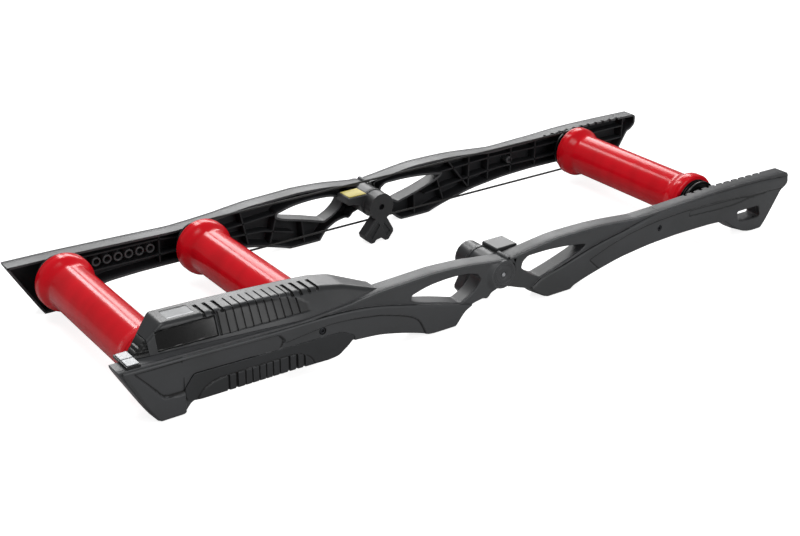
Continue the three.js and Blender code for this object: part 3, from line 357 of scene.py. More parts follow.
def tube(name: str, path: Array, radius: float, sides: int = 14) -> bpy.types.Object:
    """Carries a circle along a path in a plane of constant y: each point is p + r (n cos a + j sin a),
    where n is the path's normal in that plane and j is +Y. A flat face closes each end.

    Args:
        name: the piece's name.
        path: n x 3 points.
        radius: the tube's radius.
        sides: steps round the circle.

    Returns:
        The tube.
    """
    along = np.gradient(path, axis=0)
    along /= np.linalg.norm(along, axis=1, keepdims=True)
    normal = np.stack([-along[:, 2], 0 * along[:, 0], along[:, 0]], -1)
    angle = np.linspace(0, 2 * np.pi, sides, endpoint=False)
    points = path[:, None] + radius * (normal[:, None] * np.cos(angle)[None, :, None]
                                       + np.array([0, 1, 0]) * np.sin(angle)[None, :, None])
    last = (len(path) - 1) * sides
    ends = [list(range(sides))[::-1], list(range(last, last + sides))]
    faces = grid_faces(len(path), sides, False, True).tolist() + ends
    return solid(name, [Shell(points.reshape(-1, 3), faces)])


def triangles(loops: list[Array]) -> list[list[int]]:
    """Fills the area inside the first outline and outside the others with well-shaped triangles.

    Args:
        loops: the outline and its holes, n x 2 points each.

    Returns:
        Rows of three numbers into all the loops' points.
    """
    edges, start = [], 0
    for loop in loops:
        edges += [(start + k, start + (k + 1) % len(loop)) for k in range(len(loop))]
        start += len(loop)
    flat = np.vstack(loops)
    points, _, faces, origins, *_ = delaunay_2d_cdt([Vector(p) for p in flat.tolist()], edges, [], 0, 1e-9)
    if len(points) != len(flat):
        return [list(row) for row in tessellate_polygon([[Vector((*p, 0)) for p in loop] for loop in loops])]
    rows = np.array([ids[0] for ids in origins])[np.array(faces)]
    x, z = flat[rows].mean(1).T
    kept = inside(x, z, loops[0]) > 0
    for loop in loops[1:]:
        kept &= inside(x, z, loop) < 0
    return rows[kept].tolist()


def slab(loops: list[Array], sections: list[tuple[float, float]]) -> Shell:
    """A plate between outlines in side view: rings joined along Y and closed with two flat ends.

    Args:
        loops: the outline and the outlines of its holes.
        sections: rows of y and how far every edge is drawn back there.

    Returns:
        The closed shell.
    """
    rings = [at(offset(loop, inset if k else -inset), y)
             for y, inset in sections for k, loop in enumerate(loops)]
    starts = np.cumsum([0, *map(len, loops)])
    total, faces = int(starts[-1]), []
    for start, loop in zip(starts, loops):
        quads = grid_faces(len(sections), len(loop), False, True)
        faces += (quads // len(loop) * total + start + quads % len(loop)).tolist()
    ends = (rings[:len(loops)], rings[-len(loops):])
    first, last = (triangles([ring[:, ::2] for ring in end]) for end in ends)
    faces += [row[::-1] for row in first]
    faces += [[(len(sections) - 1) * total + v for v in row] for row in last]
    return oriented(np.vstack(rings), faces)


def oriented(vertices: Array, faces: list[list[int]]) -> Shell:
    """Makes a closed shell's faces agree with one another and face outwards.

    Args:
        vertices: n x 3 points.
        faces: rows of vertex numbers.

    Returns:
        The shell.
    """
    work = bmesh.new()
    corners = [work.verts.new(v) for v in vertices]
    for face in faces:
        if len(set(face)) > 2:
            work.faces.new([corners[v] for v in face])
    bmesh.ops.recalc_face_normals(work, faces=work.faces)
    work.verts.index_update()
    rows = [[v.index for v in f.verts] for f in work.faces]
    work.free()
    return Shell(vertices, rows)


def band(rings: list[Array], inner: int) -> Shell:
    """A rim from rings of points that follow one another round its section.

    Args:
        rings: n x 3 points each, the last joining the first.
        inner: number of the ring where the hidden inner surface starts.

    Returns:
        The closed shell.
    """
    count = len(rings[0])
    shell = Shell(np.vstack(rings), grid_faces(len(rings), count, True, True))
    shell.hidden[inner * count:(inner + 1) * count] = True
    return shell


def wall(line: Array, thickness: float, start: float, end: float) -> Shell:
    """A rib that stands on the web along a line in side view, from one y to another.

    Args:
        line: n x 2 points in side view.
        thickness: the rib's thickness in metres.
        start: y of its free edge.
        end: y of its root.

    Returns:
        The rib, all hidden.
    """
    along = np.gradient(line, axis=0)
    along /= np.linalg.norm(along, axis=1, keepdims=True)
    across = np.stack([-along[:, 1], along[:, 0]], -1) * thickness / 2
    shell = slab([np.vstack([line + across, (line - across)[::-1]])], [(start, 0.0), (end, 0.0)])
    shell.hidden[:] = True
    return shell


def closed_sheet(skin: Array, inner: Array, depth: Array | None = None, gone: Array | None = None) -> Shell:
    """Joins two grids of the same size along all their borders.

    Args:
        skin: rows x columns x 3 points of the outer surface.
        inner: the same for the inner one.
        depth: how deep each point of the skin is pressed in, which the finishes darken as painted shade.
        gone: which cells are left out of both, for an opening.

    Returns:
        The closed shell, whose inner surface is hidden.
    """
    rows, columns = skin.shape[:2]
    count = rows * columns
    face = grid_faces(rows, columns, False, False)
    if gone is not None:
        face = face[~gone.ravel()]
    tails, heads = face.ravel(), np.roll(face, -1, 1).ravel()
    border = ~np.isin(tails * count + heads, heads * count + tails)
    a, b = tails[border], heads[border]
    quads = np.vstack([face, face[:, ::-1] + count, np.stack([b, a, a + count, b + count], -1)])
    used, numbers = np.unique(quads, return_inverse=True)
    cavity = np.zeros(2 * count)
    if depth is not None:
        cavity[:count] = depth.ravel()
    points = np.vstack([skin.reshape(-1, 3), inner.reshape(-1, 3)])
    shell = Shell(points[used], numbers.reshape(quads.shape), cavity=cavity[used])
    shell.hidden[len(face):2 * len(face)] = True
    return shell


# Finishes

def linear(code: str) -> tuple[float, float, float, float]:
    """An sRGB hex colour as linear red, green, blue and alpha: ((c + 0.055) / 1.055)^2.4, or c / 12.92 when
    dark.

    Args:
        code: the colour, six hex digits after a hash.

    Returns:
        The four values.
    """
    c = np.array([int(code[i:i + 2], 16) for i in (1, 3, 5)]) / 255
    value = np.where(c <= 0.04045, c / 12.92, ((c + 0.055) / 1.055) ** 2.4)
    return (*map(float, value), 1.0)


def put(tree: Tree, kind: str, inputs: dict | None = None, **settings: object) -> bpy.types.Node:
    """Adds a node to a tree.

    Args:
        tree: the node tree.
        kind: Blender's name for the node, without Shader and Node in front.
        inputs: by input name or number, values, or sockets to link, or nodes whose first output is linked.
        settings: the node's own properties.

    Returns:
        The node.
    """
    node = tree.nodes.new("ShaderNode" + kind)
    for key, value in settings.items():
        setattr(node, key, value)
    for key, value in (inputs or {}).items():
        if isinstance(value, bpy.types.Node):
            value = value.outputs[0]
        if isinstance(value, Socket):
            tree.links.new(value, node.inputs[key])
        else:
            node.inputs[key].default_value = value
    return node


@dataclass(frozen=True)
class Finish:
    """What all finishes share: a name, a colour and the shader's plain values."""

    name: str
    colour: str
    roughness: float = 0.5
    metallic: float = 0.0
    ior: float = 1.5

    def material(self) -> bpy.types.Material:
        """Builds the material, once per name; a metal keeps the shader's own IOR.

        Returns:
            The material.
        """
        if self.name in bpy.data.materials:
            return bpy.data.materials[self.name]
        material = bpy.data.materials.new(self.name)
        material.use_nodes = True
        tree = material.node_tree
        shader = tree.nodes["Principled BSDF"]
        shader.inputs["Base Color"].default_value = linear(self.colour)
        shader.inputs["Roughness"].default_value = self.roughness
        shader.inputs["Metallic"].default_value = self.metallic
        if not self.metallic:
            shader.inputs["IOR"].default_value = self.ior
        place = put(tree, "TexCoord").outputs["Object"]
        for name, socket in self.pattern(tree, place).items():
            tree.links.new(socket, shader.inputs[name])
        return material

    def pattern(self, tree: Tree, place: Socket) -> dict[str, Socket]:
        """The finish's own pattern, as sockets by shader input."""
        return {}

    def wear(self, piece: bpy.types.Object) -> None:
        """Gives the material to a piece."""
        piece.data.materials.clear()
        piece.data.materials.append(self.material())


@dataclass(frozen=True)
class MouldedNylon(Finish):
    """Glass-filled nylon from a spark-eroded mould: satin, with a fine pebbled grain, smoother edges that
    carry a painted highlight, broken into patches like scuffed wear, and grooves darkened with painted shade.
    The real grain is about 0.3 mm, too fine to show, so it is drawn at 1.2 mm and kept low."""

    # edge colour: a painted highlight on rounded edges, in patches like scuffed wear
    edge_wear_and_highlight: str = "#6a6b6d"
    # groove colour: painted shade where the face is pressed in
    groove_shade: str = "#060606"
    grain: float = 0.0012
    height: float = 0.00006
    edge: float = 0.0011
    cloud: float = 0.09
    scuff: float = 0.012
    # how strongly the painted edge highlight is mixed in
    edge_wear_and_highlight_share: float = 0.75
    # cavity depth at which the painted shade is full
    groove: float = 0.0011

    def pattern(self, tree: Tree, place: Socket) -> dict[str, Socket]:
        """Grain in the bump, clouds in colour and gloss, a painted highlight on edges in patches like wear,
        and painted shade in grooves.

        Args:
            tree: the material's node tree.
            place: the piece's own coordinates.

        Returns:
            Sockets by shader input.
        """
        grain, cloud, scuff = (put(tree, "TexNoise", {"Vector": place, "Scale": 1 / size, "Detail": detail})
                               for size, detail in ((self.grain, 2.0), (self.cloud, 4.0), (self.scuff, 6.0)))
        soft = put(tree, "Bevel", {"Radius": self.edge}, samples=4)
        flat = put(tree, "NewGeometry").outputs["Normal"]
        turn = put(tree, "VectorMath", {0: soft, 1: flat}, operation="DOT_PRODUCT").outputs["Value"]
        # painted highlight on rounded edges, broken into patches like wear by the scuff noise
        edge = put(tree, "MapRange", {"Value": turn, "From Min": 0.995, "From Max": 0.9})
        spots = put(tree, "MapRange", {"Value": scuff, "From Min": 0.35, "From Max": 0.7})
        painted_light = put(tree, "Math", {0: edge, 1: spots}, operation="MULTIPLY")
        painted_light = put(tree, "Math", {0: painted_light, 1: self.edge_wear_and_highlight_share}, operation="MULTIPLY")
        share = put(tree, "MapRange", {"Value": cloud, "From Min": 0.3, "From Max": 0.7})
        # painted shade: the colour darkens towards the groove colour with the cavity depth
        depth = put(tree, "Attribute", attribute_name="cavity").outputs["Fac"]
        deep = put(tree, "MapRange", {"Value": depth, "From Min": 0.0, "From Max": self.groove})
        colour = linear(self.colour)
        for factor, other in ((share, self.shaded()), (painted_light, self.edge_wear_and_highlight), (deep, self.groove_shade)):
            colour = put(tree, "Mix", {0: factor, 6: colour, 7: linear(other)}, data_type="RGBA").outputs[2]
        gloss = put(tree, "MapRange", {"Value": cloud, "From Min": 0.3, "From Max": 0.7,
                                       "To Min": self.roughness - 0.04, "To Max": self.roughness + 0.05})
        bump = put(tree, "Bump", {"Height": grain, "Distance": self.height, "Strength": 0.5, "Normal": soft})
        return {"Base Color": colour, "Roughness": gloss.outputs[0], "Normal": bump.outputs[0]}

    def shaded(self) -> str:
        """The same colour, an eighth darker."""
        return "#" + "".join(f"{int(int(self.colour[i:i + 2], 16) * 0.88):02x}" for i in (1, 3, 5))


@dataclass(frozen=True)
class TurnedDrum(Finish):
    """Hard glossy lacquer over a turned drum: saturated red with soft cloudy wear where tyres run, seen as
    slightly deeper colour and duller gloss in wide bands round the drum."""

    deep: str = "#bd0d19"
    band: float = 0.03
    cloud: float = 0.12

    def pattern(self, tree: Tree, place: Socket) -> dict[str, Socket]:
        """Bands along Y that clouds break up, in colour and gloss.

        Args:
            tree: the material's node tree.
            place: the piece's own coordinates.

        Returns:
            Sockets by shader input.
        """
        scale = (1 / self.cloud, 1 / self.band, 1 / self.cloud)
        stretch = put(tree, "Mapping", {"Vector": place, "Scale": scale})
        wear = put(tree, "TexNoise", {"Vector": stretch, "Scale": 1.0, "Detail": 1.0})
        mark = put(tree, "MapRange", {"Value": wear, "From Min": 0.35, "From Max": 0.9})
        colour = put(tree, "Mix", {0: mark, 6: linear(self.colour), 7: linear(self.deep)}, data_type="RGBA")
        gloss = put(tree, "MapRange", {"Value": wear, "From Min": 0.4, "From Max": 0.75,
                                       "To Min": self.roughness, "To Max": self.roughness + 0.03})
        return {"Base Color": colour.outputs[2], "Roughness": gloss.outputs[0]}


@dataclass(frozen=True)
class TurnedMetal(Finish):
    """Metal from a lathe: fine concentric lines 0.5 mm apart, drawn round the piece's own axis."""

    centre: tuple[float, float] = (0.0, AXLE_HEIGHT)
    line: float = 0.0005
    height: float = 0.00002

    def pattern(self, tree: Tree, place: Socket) -> dict[str, Socket]:
        """Noise that depends on the distance from the axis and on y alone.

        Args:
            tree: the material's node tree.
            place: the piece's own coordinates.

        Returns:
            Sockets by shader input.
        """
        moved = put(tree, "Mapping", {"Vector": place, "Location": (-self.centre[0], 0, -self.centre[1])})
        flat = put(tree, "VectorMath", {0: moved, 1: (1, 0, 1)}, operation="MULTIPLY")
        reach = put(tree, "VectorMath", {0: flat}, operation="LENGTH").outputs["Value"]
        parts = put(tree, "SeparateXYZ", {0: moved})
        joined = put(tree, "CombineXYZ", {0: reach, 1: parts.outputs[1]})
        lines = put(tree, "TexNoise", {"Vector": joined, "Scale": 1 / self.line, "Detail": 2.0})
        gloss = put(tree, "MapRange", {"Value": lines, "From Min": 0.3, "From Max": 0.7,
                                       "To Min": self.roughness - 0.06, "To Max": self.roughness + 0.1})
        bump = put(tree, "Bump", {"Height": lines, "Distance": self.height, "Strength": 0.4})
        return {"Roughness": gloss.outputs[0], "Normal": bump.outputs[0]}


@dataclass(frozen=True)
class Rubber(Finish):
    """Extruded polyurethane cord: matt, with a faint bloom of pale dust in clouds 4 mm across."""

    bloom: str = "#2b2b2b"
    cloud: float = 0.004

    def pattern(self, tree: Tree, place: Socket) -> dict[str, Socket]:
        """Dust clouds in the colour.

        Args:
            tree: the material's node tree.
            place: the piece's own coordinates.

        Returns:
            Sockets by shader input.
        """
        dust = put(tree, "TexNoise", {"Vector": place, "Scale": 1 / self.cloud, "Detail": 5.0})
        share = put(tree, "MapRange", {"Value": dust, "From Min": 0.4, "From Max": 0.75})
        colour = put(tree, "Mix", {0: share, 6: linear(self.colour), 7: linear(self.bloom)}, data_type="RGBA")
        return {"Base Color": colour.outputs[2]}


@dataclass(frozen=True)
class CircuitBoard(Finish):
    """Glass-epoxy board under solder mask: green, with copper tracks that show paler through it. Cells of a
    brick pattern 3.2 by 1.6 mm stand for the tracks."""

    track: str = "#3f7a4a"
    pitch: float = 0.0064

    def pattern(self, tree: Tree, place: Socket) -> dict[str, Socket]:
        """The tracks in the colour.

        Args:
            tree: the material's node tree.
            place: the piece's own coordinates.

        Returns:
            Sockets by shader input.
        """
        mask = linear(self.colour)
        bricks = put(tree, "TexBrick", {"Vector": place, "Color1": mask, "Color2": mask,
                                        "Mortar": linear(self.track), "Scale": 1 / self.pitch,
                                        "Mortar Size": 0.06})
        return {"Base Color": bricks.outputs[0]}


class Coat(Enum):
    """The finishes of the object, by where they are used."""

    # Each nylon's second, paler colour is a painted edge highlight, in patches like wear.
    BEAM = MouldedNylon("glass_filled_nylon_charcoal", "#414244", roughness=0.44, ior=1.45, edge_wear_and_highlight="#7a7b7e")
    HOOD = MouldedNylon("abs_hood_near_black", "#313234", roughness=0.36, ior=1.4, edge_wear_and_highlight="#6c6d70",
                        grain=0.0009)
    # the beam's nylon made darker: painted shade on hidden faces and on the web's inner side
    SHADED_INSIDE = MouldedNylon("smooth_nylon_painted_shade_inside", "#252628", roughness=0.5, ior=1.35, edge_wear_and_highlight="#404143")
    PANE = MouldedNylon("smoked_polycarbonate", "#131415", roughness=0.16, ior=1.45, edge_wear_and_highlight="#2a2b2c",
                        grain=0.002)
    LABEL = MouldedNylon("blank_label_film", "#bcbec1", roughness=0.4, ior=1.4, edge_wear_and_highlight="#c0c1c2")
    PLAIN = MouldedNylon("black_nylon", "#1c1d1e", roughness=0.4, ior=1.4, edge_wear_and_highlight="#343537")
    CAP = MouldedNylon("black_end_cap_nylon", "#101112", roughness=0.34, ior=1.4, edge_wear_and_highlight="#2a2b2d",
                       grain=0.0009)
    DRUM = TurnedDrum("red_lacquer_on_turned_drum", "#d5101f", roughness=0.19, ior=1.27)
    DARK = TurnedMetal("black_oxide_screw", "#37383b", roughness=0.34, metallic=1.0)
    STEEL = TurnedMetal("turned_zinc_plated_steel", "#c3c5c8", roughness=0.3, metallic=1.0)
    DISC = TurnedMetal("turned_aluminium", "#d3d5d7", roughness=0.32, metallic=1.0,
                       centre=(HUB.x + AXLES["rear"], AXLE_HEIGHT))
    BELT = Rubber("black_polyurethane_cord", "#141414", roughness=0.65)
    PAD = MouldedNylon("pale_grey_abs", "#a6a9ac", roughness=0.35, edge_wear_and_highlight="#dcdedf", grain=0.0008)
    PLATE = MouldedNylon("muted_yellow_abs", "#cdbb2f", roughness=0.45, edge_wear_and_highlight="#ded063", grain=0.0008)
    BOARD = CircuitBoard("solder_masked_board", "#1d5a33", roughness=0.4)


def settle(piece: bpy.types.Object, body: str, slot: str, coat: Coat, *nodes: str) -> bpy.types.Object:
    """Lets a piece ride on a body, stand for CAD nodes and wear a finish, and reports it.

    Args:
        piece: the piece, in its place in the CAD's frame.
        body: the CAD body.
        slot: its material slot in the record; not used.
        coat: its finish.
        nodes: the CAD nodes that it stands for.

    Returns:
        The same piece.
    """
    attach(piece, body)
    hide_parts(*nodes)
    coat.value.wear(piece)
    log.info("%s: %d faces on %s", piece.name, len(piece.data.polygons), body)
    return piece


def made(name: str, shells: list[Shell], body: str, slot: str, coat: Coat, node: str, side: int = 1,
         angle: float = 32.0, near: float = NEAR) -> bpy.types.Object:
    """Makes a piece of shells that are drawn from the hubs and settles it.

    Args:
        name: the piece's name.
        shells: the shells.
        body: the CAD body.
        slot: its material slot in the record.
        coat: its finish.
        node: the CAD node that it stands for.
        side: +1 as drawn, -1 mirrored to the other side.
        angle: edges sharper than this, in degrees, stay sharp.
        near: how near points are to be joined, or zero to join none.

    Returns:
        The piece.
    """
    piece = solid(name, shells, side, angle, near)
    piece.data.transform(Matrix.Translation(HUB))
    return settle(piece, body, slot, coat, node)


def copied(name: str, node: str, body: str, slot: str, coat: Coat, angle: float = 30.0,
           bevel: float = 0.0) -> bpy.types.Object:
    """Settles a merged, smoothly shaded copy of a CAD node, which it stands for.

    Args:
        name: the piece's name.
        node: the CAD node.
        body: the CAD body that it rides on.
        slot: its material slot in the record.
        coat: its finish.
        angle: edges sharper than this, in degrees, stay sharp.
        bevel: width of a live edge bevel in metres, or zero for none.

    Returns:
        The copy.
    """
    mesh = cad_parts[node].data.copy()
    mesh.name = name
    merge_doubles(mesh, 1e-5)
    shade(mesh, angle)
    piece = link(name, mesh)
    if bevel:
        modifier = piece.modifiers.new("edges", "BEVEL")
        modifier.width, modifier.segments, modifier.limit_method = bevel, 2, "ANGLE"
        modifier.angle_limit = math.radians(35)
        modifier.use_clamp_overlap = True
        modifier.harden_normals = True
    piece.modifiers.new("normals", "WEIGHTED_NORMAL").keep_sharp = True
    return settle(piece, body, slot, coat, node)


# Sub-assemblies

class Drawing:
    """Side views of the left beam, in shares of 700 mm along it and 100 mm up it."""

    SCALE = (0.700, 0.100)
    REAR = ((-0.9886, 0.99), (-0.9857, 0.93), (-0.9243, 0.19), (-0.9057, 0), (-0.8457, 0), (-0.8286, 0.14),
            (-0.7557, 0.33), (-0.6586, 0.36), (-0.5543, 0.36), (-0.4429, 0.34), (-0.3543, 0.29),
            (-0.2886, 0.18), (-0.2329, 0.06), (-0.2171, 0), (-0.1371, 0), (-0.1257, 0.11), (-0.1114, 0.23),
            (-0.0829, 0.31), (-0.0543, 0.34), (-0.0429, 0.31), (-0.0357, 0.35), (-0.03, 0.4))
    REAR_TOP = ((-0.09, 0.99), (-0.2, 1.005), (-0.3429, 0.98), (-0.4286, 0.93), (-0.5571, 0.915),
                (-0.6714, 0.94), (-0.8571, 0.975))
    REAR_WINDOW = ((-0.2629, 0.79), (-0.2186, 0.875), (-0.1571, 0.905), (-0.1029, 0.885), (-0.0743, 0.82),
                   (-0.0629, 0.71), (-0.0729, 0.59), (-0.0943, 0.47), (-0.1214, 0.385), (-0.1886, 0.53),
                   (-0.2471, 0.63), (-0.2671, 0.7))
    REAR_SPAR = ((-0.9814, 0.965), (-0.9243, 0.215), (-0.9043, 0.01), (-0.8471, 0.01), (-0.8286, 0.15),
                 (-0.7557, 0.34), (-0.6586, 0.37), (-0.5543, 0.37), (-0.4429, 0.35), (-0.3543, 0.3),
                 (-0.2886, 0.19), (-0.2329, 0.07), (-0.2157, 0.01), (-0.1386, 0.01), (-0.1271, 0.11),
                 (-0.1129, 0.23), (-0.0886, 0.31), (-0.12, 0.37), (-0.17, 0.475), (-0.2657, 0.645),
                 (-0.3571, 0.805), (-0.4243, 0.872), (-0.49, 0.9), (-0.5914, 0.9), (-0.7129, 0.915),
                 (-0.8571, 0.945))
    REAR_RIBS = (((-0.8214, 0.84), (-0.6, 0.82), (-0.4286, 0.68), (-0.2629, 0.75)),
                 ((-0.8214, 0.54), (-0.6, 0.53), (-0.4286, 0.52), (-0.3029, 0.47), (-0.2143, 0.3)),
                 ((-0.9143, 0.95), (-0.8214, 0.84), (-0.8214, 0.54), (-0.9143, 0.3)),
                 ((-0.6, 0.92), (-0.6, 0.37)), ((-0.44, 0.92), (-0.416, 0.34)),
                 ((-0.371, 0.95), (-0.35, 0.29)), ((-0.2629, 0.75), (-0.2857, 0.18)),
                 ((-0.1886, 0.5), (-0.18, 0.01)))
    FRONT = ((0.0514, 0.34), (0.09, 0.25), (0.11, 0.12), (0.1414, 0), (0.22, 0), (0.23, 0.06),
             (0.2857, 0.17), (0.38, 0.31), (0.4843, 0.39), (0.5929, 0.42), (0.7143, 0.41), (0.7714, 0.37),
             (0.8, 0.21), (0.8229, 0.12), (0.8586, 0), (0.9143, 0), (0.9343, 0.17), (0.9829, 0.7),
             (0.9971, 0.73), (1.0114, 0.82), (1.0114, 0.94), (1.0043, 0.99), (0.8643, 1.01), (0.7, 1.02),
             (0.6143, 0.99), (0.4771, 0.96), (0.2971, 0.97), (0.1257, 0.985))
    FRONT_WINDOW = ((0.06, 0.69), (0.0643, 0.8), (0.08, 0.875), (0.1414, 0.88), (0.2114, 0.84),
                    (0.2671, 0.77), (0.2543, 0.68), (0.1771, 0.51), (0.12, 0.41), (0.0886, 0.52))
    HANDLE = ((0.8114, 0.5), (0.82, 0.29), (0.8629, 0.26), (0.9057, 0.26), (0.8957, 0.5))
    FRONT_SPAR = ((0.09, 0.26), (0.1114, 0.13), (0.1429, 0.01), (0.2186, 0.01), (0.2286, 0.07),
                  (0.2857, 0.18), (0.38, 0.32), (0.4843, 0.4), (0.5929, 0.43), (0.7143, 0.42),
                  (0.7714, 0.38), (0.8014, 0.22), (0.8243, 0.13), (0.86, 0.01), (0.9129, 0.01),
                  (0.9329, 0.17), (0.9814, 0.69), (0.9957, 0.74), (1.0071, 0.82), (1.0043, 0.93),
                  (0.9029, 0.985), (0.8643, 0.995), (0.7, 1.0), (0.6143, 0.975), (0.5243, 0.957),
                  (0.4771, 0.935), (0.4314, 0.875), (0.38, 0.805), (0.3243, 0.745), (0.2657, 0.655),
                  (0.1886, 0.505), (0.1457, 0.44), (0.1186, 0.39))
    FRONT_RIBS = (((0.2543, 0.68), (0.28, 0.17)), ((0.2929, 0.97), (0.3686, 0.3)),
                  ((0.3686, 0.96), (0.3686, 0.3)), ((0.4386, 0.96), (0.4386, 0.36)),
                  ((0.5229, 0.97), (0.5229, 0.4)), ((0.1771, 0.51), (0.18, 0.01)),
                  ((0.2671, 0.77), (0.4429, 0.82), (0.6143, 0.795)),
                  ((0.2143, 0.4), (0.3571, 0.5), (0.4714, 0.56), (0.6143, 0.54)),
                  ((0.6143, 0.98), (0.6143, 0.42)), ((0.6143, 0.54), (0.9629, 0.54)),
                  ((0.6143, 0.795), (0.9629, 0.795)), ((0.9629, 0.99), (0.9629, 0.54)))
    HINGE = (0.0, 0.99)
    GENTLE = 0.02
    SHARP = 0.0035
    HANDLE_SHARP = 0.006

    @classmethod
    def place(cls, points: tuple | Array) -> Array:
        """Shares as places in metres."""
        return np.array(points, float) * cls.SCALE

    @classmethod
    def curve(cls, points: tuple | Array, sharp: float = SHARP) -> Array:
        """An outline with its corners rounded off."""
        return eased(cls.place(points), cls.GENTLE, sharp)


@dataclass
class SideBeams:
    """The four open-backed beam halves: a web, the rims round it, a proud lower spar and ribs behind."""

    open_side: float = 0.196
    web: float = 0.2205
    relief: float = 0.225
    face: float = OUTER_FACE
    rim: float = 0.004
    rib: float = 0.0026
    rib_start: float = 0.003
    overlap: float = 0.001
    soft: float = 0.0022
    margin: float = 0.003
    flare: float = 0.0042
    hub: tuple[float, float] = (0.0, HUB_HEIGHT)
    hub_radius: float = 0.027
    socket: float = 0.0014
    blend_start: float = 0.0236
    blend_end: float = 0.036
    fold: tuple[float, float] = (0.0135, 0.093)
    knuckle: float = 0.0045
    knuckle_bore: float = 0.0021
    knuckle_gap: float = 0.00015
    lip: float = 0.0016
    lip_turn: float = 0.0009
    lip_height: float = 0.003
    lip_end: float = 0.318
    notches: int = 11
    notch_start: float = 0.450
    notch_pitch: float = 0.020
    notch_width: float = 0.007
    notch_depth: float = 0.005
    posts: int = 6
    post_start: float = -0.537
    post_pitch: float = 0.02
    post_height: float = 0.069
    boss_end: float = 0.1833
    rear_rise: tuple = ((-0.40, 0.0), (-0.343, 0.0025), (-0.30, 0.005), (-0.24, 0.006), (-0.165, 0.0067),
                        (-0.141, 0.007), (-0.117, 0.0066), (-0.086, 0.0054), (-0.066, 0.004),
                        (-0.046, 0.0021), (-0.0195, 0.0))
    front_rise: tuple = ((0.046, 0.0), (0.073, 0.0021), (0.093, 0.0041), (0.113, 0.0064), (0.130, 0.0076),
                         (0.168, 0.008), (0.204, 0.0078), (0.228, 0.0066), (0.253, 0.0048), (0.282, 0.0022),
                         (0.306, 0.0), (0.48, 0.0), (0.54, 0.0013), (0.66, 0.0013))

    def build(self) -> None:
        """Builds and dresses both halves for both sides."""
        for side, sign in SIDES:
            for end, shells in (("rear", self.rear(side == "right")), ("front", self.front())):
                piece = made(f"{end}_beam_{side}_moulding", shells, f"{end}_frame", "beam_plastic", Coat.BEAM,
                             f"{end}_beam_{side}", sign, 34, 0)
                self.dress(piece.data)

    def dress(self, mesh: bpy.types.Mesh) -> None:
        """The same plastic, smoother and darker as painted shade, on the hidden faces and on the web's inner
        side.

        Args:
            mesh: a half's mesh.
        """
        mesh.materials.append(Coat.SHADED_INSIDE.value.material())
        hidden = np.zeros(len(mesh.polygons), np.int32)
        mesh.attributes["hidden"].data.foreach_get("value", hidden)
        y, turn = face_values(mesh, "center")[:, 1], face_values(mesh, "normal")[:, 1]
        web = (np.abs(y) < self.web + 1e-4) & (turn * np.sign(y) < -0.9) & (np.abs(y) > self.open_side + 0.01)
        mesh.polygons.foreach_set("material_index", np.where(web, 1, hidden).astype(np.int32))

    def seam(self, along: float, up: float) -> tuple[float, float]:
        """A point given in knuckle radii from the fold axis."""
        return self.fold[0] + along * self.knuckle, self.fold[1] + up * self.knuckle

    def hub_arc(self, radius: float, start: float, end: float, points: int) -> Array:
        """Part of a circle about the hub, in degrees."""
        angle = np.radians(np.linspace(start, end, points))
        return np.stack([self.hub[0] + radius * np.cos(angle), self.hub[1] + radius * np.sin(angle)], -1)

    def half(self, outline: Array, windows: list[Array], ribs: tuple, rise: tuple) -> list[Shell]:
        """The shells that both halves are made of. The web's edge is a quarter circle up to its face.

        Args:
            outline: the half in side view.
            windows: its openings.
            ribs: lines of the stiffening ribs.
            rise: how far the top stands higher than the drawn outline, by place.

        Returns:
            Closed shells.
        """
        outline = refined(outline, 0.005)
        up = np.interp(outline[:, 0], *np.array(rise).T) * smooth_step(outline[:, 1], 0.085, 0.095)
        outline = outline + np.stack([0 * up, up], -1)
        quarter = [(math.sin(t), 1 - math.cos(t)) for t in np.linspace(0, math.pi / 2, 5)]
        edge = [(self.relief - self.soft + self.soft * out, self.soft * back) for out, back in quarter]
        plate = slab([outline, *windows], [(self.web, 0.0), *edge, (self.relief, self.margin)])
        ribs = [wall(Drawing.place(line), self.rib, self.open_side + self.rib_start, self.web + self.overlap)
                for line in ribs]
        return [plate, self.rim_band(outline), *map(self.window_band, windows), *ribs]

    def window_band(self, window: Array) -> Shell:
        """The rim round an opening, which flares out towards the open side where it faces up.

        Args:
            window: the opening in side view.

        Returns:
            The rim.
        """
        wide = refined(window, 0.006)
        normals, factors = corner_normals(wide)
        drop = self.flare * np.clip(normals[:, 1] * factors, 0, 1)
        low = np.stack([0 * drop, drop], -1)
        outer, end = offset(wide, self.rim), self.web + self.overlap
        rings = [at(outer - low, self.open_side), at(outer, end), at(wide, end),
                 at(wide - low, self.open_side)]
        return band(rings, 0)

